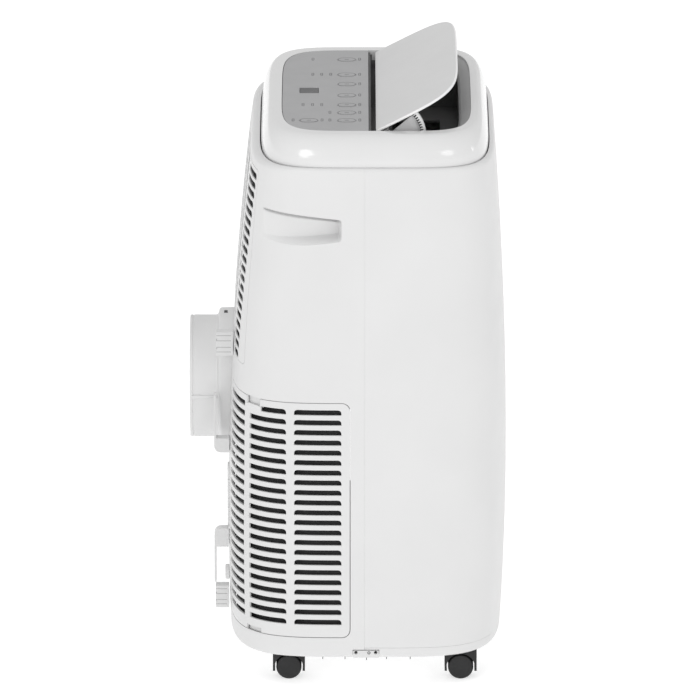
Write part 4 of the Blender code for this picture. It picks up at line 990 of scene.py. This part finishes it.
def upper_cover():
    """The slotted cover over the upper filter, a little proud of the shell."""
    middle = TO_MIDDLE[REAR]
    holes = []
    for row_z in np.linspace(COVER_FIRST_Z, COVER_LAST_Z, COVER_ROWS):
        rise = (row_z - COVER_FIRST_Z) / (COVER_LAST_Z - COVER_FIRST_Z)
        reach = COVER_SLOT_LOW_X + (COVER_SLOT_HIGH_X - COVER_SLOT_LOW_X) * rise
        for left_x, right_x in COVER_COLUMNS:
            near = min(abs(left_x), abs(right_x)) if left_x * right_x > 0 else 0.0
            if row_z < COVER_NOTCH_Z + COVER_SLOT_HEIGHT and near < COVER_NOTCH_X:
                continue
            left_x, right_x = max(left_x, -reach), min(right_x, reach)
            start = middle - math.copysign(middle - rear_s("back", abs(right_x), COVER_MIDDLE_Z), right_x)
            end = middle - math.copysign(middle - rear_s("back", abs(left_x), COVER_MIDDLE_Z), left_x)
            holes.append(slot_loop(start, end, row_z, COVER_SLOT_HEIGHT))
    outer = grown(cover_window(), -0.0002)

    def surface(s, v):
        point = casing_point(s, v, REAR)
        return point - plan_inward(s, REAR) * 0.0003

    grid = sheet_grid(outer, 0.008, COVER_FOOT_Z, COVER_TOP_Z, 0.0066)
    piece = skin("filter_cover_upper", surface, outer, holes, WHITE, 0.0018, 0.0005, grid)
    ride_as(piece, "upper_filter_cover", body="upper_cover")


# ---------------------------------------------------------------- top ring and key panel

RING = (0.2250, -0.1890, 0.1170, 5.3)
HOLE = HOLE_HALF_X, HOLE_FRONT_Y, HOLE_REAR_Y, HOLE_POWER = 0.1900, -0.1650, 0.0890, 5.5
RING_TOP_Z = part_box("top_bezel")[1].z + 0.0010
RING_FOOT_Z = RIM_Z - 0.0022


def ring_between(share, z, steps=200):
    """A ring a share of the way from the top ring's outer edge to its inner edge."""
    return superellipse(*(a + (b - a) * share for a, b in zip(RING, HOLE)), z, steps)


def top_ring():
    """The glossy ring: it rises steeply, rounds over to a flat rim and turns down at its inner edge."""
    shoulder, lean, edge = 0.66, 2.1, 0.0008
    rings = [ring_between(0.03, RING_FOOT_Z - 0.004), ring_between(0.0, RING_FOOT_Z)]
    for share in np.linspace(0.02, 1.0, 16) ** 1.3:
        rise = (1 - (1 - share) ** lean) ** (1 / lean)
        rings.append(ring_between(share * shoulder, RING_FOOT_Z + (RING_TOP_Z - RING_FOOT_Z) * rise))
    rings.append(ring_between(0.96, RING_TOP_Z))
    for turn in arc_steps(5)[1:]:
        share = 0.978 + 0.022 * math.sin(turn)
        rings.append(ring_between(share, RING_TOP_Z - edge * (1 - math.cos(turn))))
    rings += [ring_between(1.0, RING_TOP_Z - 0.014), ring_between(0.94, RING_TOP_Z - 0.014)]
    piece = loft("top_ring", rings, GLOSS)
    ride_as(piece, "top_bezel", slot="gloss_white_plastic")


def flat_at(z):
    """A level surface."""
    return lambda x, y: np.stack([x, y, z + 0 * x], axis=-1)


def hole_outline(inset, low_y, high_y, steps=160):
    """The part of the ring's hole between two Y values, drawn in by inset."""
    front, rear = HOLE_FRONT_Y + inset, HOLE_REAR_Y - inset
    ring = superellipse(HOLE_HALF_X - inset, front, rear, HOLE_POWER, 0.0, steps)[:, :2]
    kept = [tuple(p) for p in ring if low_y < p[1] < high_y]
    middle = (HOLE_FRONT_Y + HOLE_REAR_Y) / 2
    half_y = (HOLE_REAR_Y - HOLE_FRONT_Y) / 2 - inset
    for y in (low_y, high_y):
        if abs(y - middle) < half_y:
            x = (HOLE_HALF_X - inset) * (1 - (abs(y - middle) / half_y) ** HOLE_POWER) ** (1 / HOLE_POWER)
            kept += [(x, y), (-x, y)]
    centre = (max(low_y, middle - half_y) + min(high_y, middle + half_y)) / 2
    kept = sorted(kept, key=lambda p: math.atan2(p[1] - centre, p[0]))
    return np.array(kept)


def oval_loop(centre, half_x, half_y, steps=28):
    """A stadium, long in Y."""
    angle = full_turn(steps)
    y = centre[1] + half_x * np.sin(angle) + np.sign(np.sin(angle) + 1e-9) * (half_y - half_x)
    return np.stack([centre[0] + half_x * np.cos(angle), y], axis=1)


PANEL_LIFT = 0.0012
KEYS = [f"key_{k}" for k in range(1, 8)] + ["key_power"]


def key_panel():
    """The silver film panel with its keys, each an oval pad in its own hole, and the display window."""
    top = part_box("control_fascia")[1].z + PANEL_LIFT
    holes = [oval_loop(middle, half.x + 0.0002, half.y + 0.0002) for middle, half in map(placed, KEYS)]
    low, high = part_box("display_window")
    holes.append(rounded(low.x - 0.0004, low.y - 0.0004, high.x + 0.0004, high.y + 0.0004, 0.0012))
    outline = split_long(hole_outline(0.0006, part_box("control_fascia")[0].y, 1.0), 0.012)
    panel = skin("key_panel", flat_at(top), outline, holes, SILVER, 0.003, 0.0003)
    ride_as(panel, "control_fascia", slot="silver_film")
    for name in KEYS:
        key_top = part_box(name)[1].z + PANEL_LIFT
        middle, half = placed(name)
        loop = oval_loop(middle, half.x, half.y)
        pad = skin(f"{name}_pad", flat_at(key_top), loop, [], SILVER, 0.0022, 0.0003)
        ride_as(pad, name, slot="silver_film", body=name)
        key_gap_shade_and_dash(name, middle, half, key_top)
    screen = rounded(low.x, low.y, high.x, high.y, 0.0010)
    window = skin("display_glass", flat_at(high.z + PANEL_LIFT), screen, [], LENS, 0.0021, 0.0003)
    ride_as(window, "display_window", slot="display_lens")


def mark(name, loop, z, body, holes=()):
    """A thin raised dark film on a surface, used for print and for the painted shade of the key outlines."""
    piece = skin(name, flat_at(z), np.array(loop), list(holes), INK_AND_SHADE, 0.00014, 0.00002, steps=2)
    ride_as(piece, slot="dark_plastic", body=body)


def key_gap_shade_and_dash(name, place, half, z):
    """The dark oval line just inside a key's edge, painted shade standing for the gap round the key, and the
    printed dash in its middle.
    """
    outer = oval_loop(place, half.x - 0.0005, half.y - 0.0005)
    # Painted shade: the oval line stands for the shaded gap round the key.
    mark(f"{name}_outline", outer, z + 0.0001, name, [oval_loop(place, half.x - 0.0012, half.y - 0.0012)])
    dash = rounded(place.x - 0.0006, place.y - 0.0028, place.x + 0.0006, place.y + 0.0028, 0.0004)
    mark(f"{name}_dash", dash, z + 0.0001, name)


def glyph(name, x, y, z, width, height):
    """A generic printed sign: a small frame round a dot."""
    outer = rounded(x - height / 2, y - width / 2, x + height / 2, y + width / 2, width * 0.3)
    mark(f"{name}_frame", outer, z, "casing", [grown(outer, -0.0008)])
    mark(f"{name}_dot", circle(x, y, width * 0.14, 12), z, "casing")


def panel_marks():
    """Generic signs printed in line with the keys, at set distances behind and in front of them."""
    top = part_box("control_fascia")[1].z + PANEL_LIFT + 0.0001
    for key, columns in MARK_COLUMNS.items():
        middle, _ = placed(key)
        for k, offset in enumerate(columns):
            glyph(f"{key}_sign_{k + 1}", middle.x + 0.0020, middle.y + offset, top, *MARK_SIZE)


# ---------------------------------------------------------------- air outlet

HINGE = next(joint for joint in frame["joints"] if joint["name"] == "flap_hinge")
_, PIVOT_Y, PIVOT_Z = HINGE["pos_m"]
FLAP_OPEN = -math.radians(HINGE["range_deg"][0])
FLAP_RISE, FLAP_THICK = 0.0175, 0.0035
FLAP_REAR_Y, FLAP_FRONT_Y, FLAP_HALF_X = -0.0435, -0.1672, 0.185
CAVITY_FRONT_Y, CAVITY_TOP_Z = -0.1490, 0.7575
# The gear's rim: the angles it spans, its radii outside, at its teeth's roots and at their tips, and the
# radii of the dark band under the teeth, which is painted shade in the tooth gaps.
RIM_DEG, TOOTH_PITCH_DEG = (-2.0, 43.0), 4.2
RIM_RADIUS, TOOTH_ROOT, TOOTH_TIP = 0.0534, 0.0502, 0.0468
GAP_OUTER, GAP_INNER = 0.0508, 0.0462


def flap():
    """The open flap: a thin plate with a rolled rear edge and rounded rims, tipped about its hinge; its rims
    are a brighter white as painted highlight.
    """
    ring = superellipse(FLAP_HALF_X, FLAP_FRONT_Y, 0.0915, HOLE_POWER, 0.0, 220)[:, :2]
    kept = [tuple(p) for p in ring if p[1] < FLAP_REAR_Y - 0.001]
    start = max(range(len(kept)), key=lambda k: -kept[k][0] + kept[k][1] * 2)
    kept = kept[start:] + kept[:start]
    loop = split_long(np.array([*kept, (FLAP_HALF_X, FLAP_REAR_Y), (-FLAP_HALF_X, FLAP_REAR_Y)]), 0.008)

    def surface(x, y):
        along, roll = y - PIVOT_Y, np.clip(y - (FLAP_REAR_Y - 0.007), 0.0, None)
        up = FLAP_RISE - 18.0 * roll**2
        cos, sin = math.cos(FLAP_OPEN), math.sin(FLAP_OPEN)
        return np.stack([x, PIVOT_Y + along * cos + up * sin, PIVOT_Z - along * sin + up * cos], axis=-1)

    rows = (-0.16, -0.14, -0.11, -0.08, -0.06, -0.0515, -0.049, -0.0465, -0.0445)
    grid = (steps_between(-0.18, 0.18, 0.02), rows)
    # The rims take the brighter white as painted highlight.
    edges = {"radius": 0.0013, "back": 0.0013, "steps": 5, "edge_material": EDGE_HIGHLIGHT}
    piece = skin("outlet_flap_plate", surface, loop, [], FLAP, FLAP_THICK, grid=grid, **edges)
    ride_as(piece, "outlet_flap", slot="flap_plastic", body="flap")


def gear_rim():
    """The gear sector's toothed rim, a brighter white as painted highlight, over a dark band of painted
    shade, on the sector's outer face.
    """
    face_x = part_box("flap_gear_sector")[0].x

    def face(x):
        return lambda s, v: np.stack([x + 0 * s, -s, v], axis=-1)

    def arc(radius, start, end, count):
        angle = np.radians(np.linspace(start, end, count))
        return np.stack([-PIVOT_Y + radius * np.cos(angle), PIVOT_Z + radius * np.sin(angle)], axis=1)

    band = np.concatenate([arc(GAP_OUTER, *RIM_DEG, 40), arc(GAP_INNER, *RIM_DEG[::-1], 40)])
    # Painted shade: a dark band that shows through the gaps between the teeth.
    under = skin("gear_tooth_gap_shade", face(face_x - 0.0004), band, [], DARK_AND_SHADE, 0.0006, 0.0001)
    ride_as(under, slot="dark_plastic", body="flap")
    inner = []
    for start in np.arange(RIM_DEG[1], RIM_DEG[0] + TOOTH_PITCH_DEG, -TOOTH_PITCH_DEG):
        for share, radius in ((0.0, TOOTH_ROOT), (0.42, TOOTH_ROOT), (0.56, TOOTH_TIP), (0.86, TOOTH_TIP)):
            inner.append(arc(radius, start - share * TOOTH_PITCH_DEG, start, 2)[0])
    last = arc(TOOTH_ROOT, RIM_DEG[0], 0, 1)
    rim = np.concatenate([arc(RIM_RADIUS, *RIM_DEG, 40), np.array(inner), last])
    teeth = skin("gear_rim", face(face_x - 0.0012), rim, [], EDGE_HIGHLIGHT, 0.0010, 0.0002)
    ride_as(teeth, body="flap")


def outlet_sill():
    """The sloped ledge between the ring's inner edge and the front of the dark well, white plastic coloured
    grey as painted shade.
    """
    outer = hole_outline(0.0, -1.0, -0.030)
    rings = []
    for share in np.linspace(0.0, 1.0, 6):
        front = HOLE_FRONT_Y + (CAVITY_FRONT_Y - HOLE_FRONT_Y) * share
        half_x = HOLE_HALF_X + (0.1842 - HOLE_HALF_X) * share
        x = outer[:, 0] * half_x / HOLE_HALF_X
        blend = ((-0.030 - outer[:, 1]) / (-0.030 - HOLE_FRONT_Y)).clip(0.0, 1.0)
        y = -0.030 - blend * (-0.030 - front)
        drop = RING_TOP_Z - 0.0030 - (RING_TOP_Z - 0.0030 - CAVITY_TOP_Z) * share**1.2
        rings.append(np.stack([x, y, np.full(len(x), drop)], axis=1))
    rings.append(rings[-1] - np.array([0.0, 0.0, 0.004]))
    # The ledge is white plastic; its grey is painted shade.
    sill = loft("outlet_sill", rings[::-1], SHADE_GREY, closed=False, sharp_deg=50)
    ride_as(sill, "outlet_frame")


# ---------------------------------------------------------------- hose adaptor and back fittings


def hose_adaptor():
    """The exhaust collar: a rounded flange, a plain tube with a rolled end and two raised side ribs."""
    middle, half = placed("hose_adaptor")
    centre_z, flange = middle.z, half.x
    front, end = (corner.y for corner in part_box("hose_adaptor"))
    tube, wall = 0.0830, 0.0028
    profile = [(tube - wall, front), (tube - wall, end - 0.0012)]
    for turn in np.linspace(math.pi, 0.0, 7):
        profile.append((tube - wall / 2 + wall / 2 * math.cos(turn), end - 0.0012 + 0.0012 * math.sin(turn)))
    profile += [(tube, end - 0.0035), (tube - 0.0007, end - 0.0042), (tube - 0.0007, end - 0.0052)]
    profile += [(tube, end - 0.0058), (tube, front + 0.0165), (tube + 0.0006, front + 0.0142)]
    corner = 0.0045
    for turn in arc_steps(6):
        inset = corner * (1 - math.sin(turn))
        profile.append((flange - inset, front + 0.0127 - corner * (1 - math.cos(turn))))
    profile += [(flange + 0.0002, front), (flange + 0.0002, front - 0.0080), (tube + 0.002, front - 0.0080)]
    profile += [(tube + 0.002, front), (tube - wall, front)]
    collar = turned("exhaust_collar", profile[::-1], (0.0, 0.0, centre_z), "y", WHITE, 96)
    ride_as(collar, "hose_adaptor", body="adaptor")
    for side, word in SIDES:
        middle = (side * (tube + 0.0004), (front + 0.014 + end - 0.003) / 2, centre_z - 0.0035)
        rib = block(f"collar_rib_{word}", middle, (0.0030, end - front - 0.017, 0.0040), 0.0006, WHITE)
        ride_as(rib, "hose_adaptor", body="adaptor")
    # A dark block where the latch hole is: painted shade standing for the hole.
    middle = (-0.004, front + 0.0030, centre_z + flange - 0.0010)
    latch_hole_shade = block("adaptor_latch_hole_shade", middle, (0.010, 0.0048, 0.0026), 0.0004, DARK_AND_SHADE)
    ride_as(latch_hole_shade, "hose_adaptor", slot="dark_plastic", body="adaptor")


def fitting_groove_shade_strips():
    """Thin grey strips round the sides of the two ribbed blocks on the back: painted shade standing for their
    fine grooves.
    """
    for fitting in ("cord_outlet", "plug_socket"):
        middle, half = placed(fitting)
        for k, share in enumerate((0.16, 0.36, 0.64, 0.86)):
            z = middle.z + half.z * (2 * share - 1)
            size = (2 * half.x + 0.0003, 2 * half.y * 0.86, 0.0009)
            # Each strip is painted shade where a groove's shadow falls.
            ride_as(block(f"{fitting}_groove_shade_{k + 1}", (middle.x, middle.y + 0.0012, z), size, 0.0002, SHADE_GREY))


def drain_cap():
    centre, half = placed("drain_cap")
    low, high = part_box("drain_cap")
    radius = half.x
    profile = [(0.0, low.y), (0.0068, low.y), (0.0068, 0.1618), (radius, 0.1624)]
    profile += [(radius, high.y - 0.0016), (radius - 0.0004, high.y - 0.0005), (radius - 0.0015, high.y)]
    profile += [(0.0052, high.y), (0.0046, high.y - 0.0010), (0.0, high.y - 0.0010)]
    cap = turned("drain_plug_cap", profile, (centre.x, 0.0, centre.z), "y", WHITE, 40)
    ride_as(cap, "drain_cap", body="drain_plug")


# ---------------------------------------------------------------- casters

CORNERS = ("front_right", "front_left", "rear_right", "rear_left")


def caster(label, body):
    """Two wheels with a rounded tread and a shallow dished face, on a smooth sleeve."""
    centre, (half, _, radius) = placed(f"{label}_wheels")
    thick = 0.0085
    side = [(0.0, half - 0.0006), (0.0122, half - 0.0006), (0.0130, half - 0.0002), (radius - 0.0022, half)]
    side += [(radius - 0.0008, half - 0.0006), (radius, half - 0.0018), (radius, half - thick + 0.0014)]
    side += [(radius - 0.0012, half - thick), (0.0042, half - thick)]
    profile = side + [(r, -along) for r, along in reversed(side)]
    wheels = turned(f"{label}_tyres", profile[::-1], tuple(centre), "x", BLACK, 48)
    ride_as(wheels, f"{label}_wheels", slot="black_plastic", body=f"{body}_wheels")
    softened(f"{label}_hood", 0.0012, BLACK)


# ---------------------------------------------------------------- every piece, and the nodes that stay

casing_halves()
base_tray()
foot_ribs()
seam_plates()
lower_grille("left", 1)
lower_grille("right", -1)
upper_cover()
top_ring()
key_panel()
panel_marks()
flap()
gear_rim()
outlet_sill()
hose_adaptor()
fitting_groove_shade_strips()
drain_cap()
for corner in CORNERS:
    caster(f"caster_{corner}", corner)
for hook in ("cord_hook_upper", "cord_hook_lower"):
    softened(hook, 0.0005, WHITE)
for fitting in ("cord_outlet", "plug_socket"):
    softened(fitting, 0.0002, WHITE)
CARRIED = (
    (WELL_AND_SHADE, ("outlet_duct",)),
    (WHITE, ("exhaust_duct",)),
    (DARK_AND_SHADE, ("mid_deck", "flap_pinion", "blower_wheel", "condenser_fan")),
    (STEEL, ("flap_shaft", "flap_motor", "blower_motor", "condenser_motor")),
    (GEAR_PAINTED_LIGHT, ("flap_gear_sector",)),
    (PAINT, ("compressor",)),
    (COPPER, ("refrigerant_pipes",)),
    (FINS, ("evaporator_coil", "condenser_coil")),
    (BOARD, ("control_board",)),
    (MESH, ("upper_filter_mesh", "lower_filter_left", "lower_filter_right")),
    (BLACK, tuple(f"caster_{corner}_axle" for corner in CORNERS)),
)
for finish, nodes in CARRIED:
    for node in nodes:
        painted(node, finish)

# ---------------------------------------------------------------- stage

CAMERA_LENS, CAMERA_AZIMUTH, CAMERA_TILT, CAMERA_DISTANCE = 532.2, 270, 18.1, 14.0
AIM = Vector((0.0, 0.0, 0.406))
WORLD_STRENGTH = 0.70


def aimed(name, data, azimuth, elevation, distance=4.0):
    """A camera or light that looks at the object's middle, placed by its angles."""
    obj = linked(name, data)
    a, e = math.radians(azimuth), math.radians(elevation)
    back = Vector((math.sin(a) * math.cos(e), -math.cos(a) * math.cos(e), math.sin(e)))
    obj.location = AIM + distance * back
    obj.rotation_euler = (-back).to_track_quat("-Z", "Y").to_euler()
    return obj


def camera():
    data = bpy.data.cameras.new("camera")
    data.lens = CAMERA_LENS
    bpy.context.scene.camera = aimed("camera", data, CAMERA_AZIMUTH, CAMERA_TILT, CAMERA_DISTANCE)


def softbox(name, azimuth, elevation, power, width, height):
    """A soft oval light."""
    data = bpy.data.lights.new(name, "AREA")
    data.shape = "ELLIPSE"
    data.energy, data.size, data.size_y = power, width, height
    aimed(name, data, azimuth, elevation)


def sun(name, azimuth, elevation, strength, spread_deg):
    """A broad even light that leaves no highlight."""
    data = bpy.data.lights.new(name, "SUN")
    data.energy, data.angle = strength, math.radians(spread_deg)
    aimed(name, data, azimuth, elevation).visible_glossy = False


def floor():
    material, tree, shader = new_nodes("pale_floor")
    grain = between(tree, noise(tree, 3.0), 0.0, 1.0)
    tone = tones(tree, grain, (0.60,) * 3, (0.63,) * 3)
    tree.links.new(tone, shader.inputs["Base Color"])
    set_inputs(shader, {"Roughness": 0.9, "Specular IOR Level": 0.1})
    set_inputs(shader, {"Emission Color": (1.0, 1.0, 1.0, 1.0), "Emission Strength": 0.60})
    mesh = bpy.data.meshes.new("floor")
    reach = 30.0
    corners = [(-reach, -reach, 0), (reach, -reach, 0), (reach, reach, 0), (-reach, reach, 0)]
    mesh.from_pydata(corners, [], [(0, 1, 2, 3)])
    mesh.materials.append(material)
    linked("floor", mesh)


def world():
    surround = bpy.data.worlds.new("studio")
    surround.use_nodes = True
    sky = surround.node_tree.nodes["Background"]
    set_inputs(sky, {"Color": (1.0, 1.0, 1.0, 1.0), "Strength": WORLD_STRENGTH})
    bpy.context.scene.world = surround


camera()
floor()
world()
sun("overhead", 270, 80, 0.5, 20)
softbox("softbox_rear", 247.4, 18, 18, 1.25, 1.45)
softbox("softbox_front", 298.0, 18, 9, 1.30, 0.95)
softbox("softbox_ahead", 366, 8, 2.0, 0.36, 0.54)
bpy.context.scene.view_settings.view_transform = "Standard"
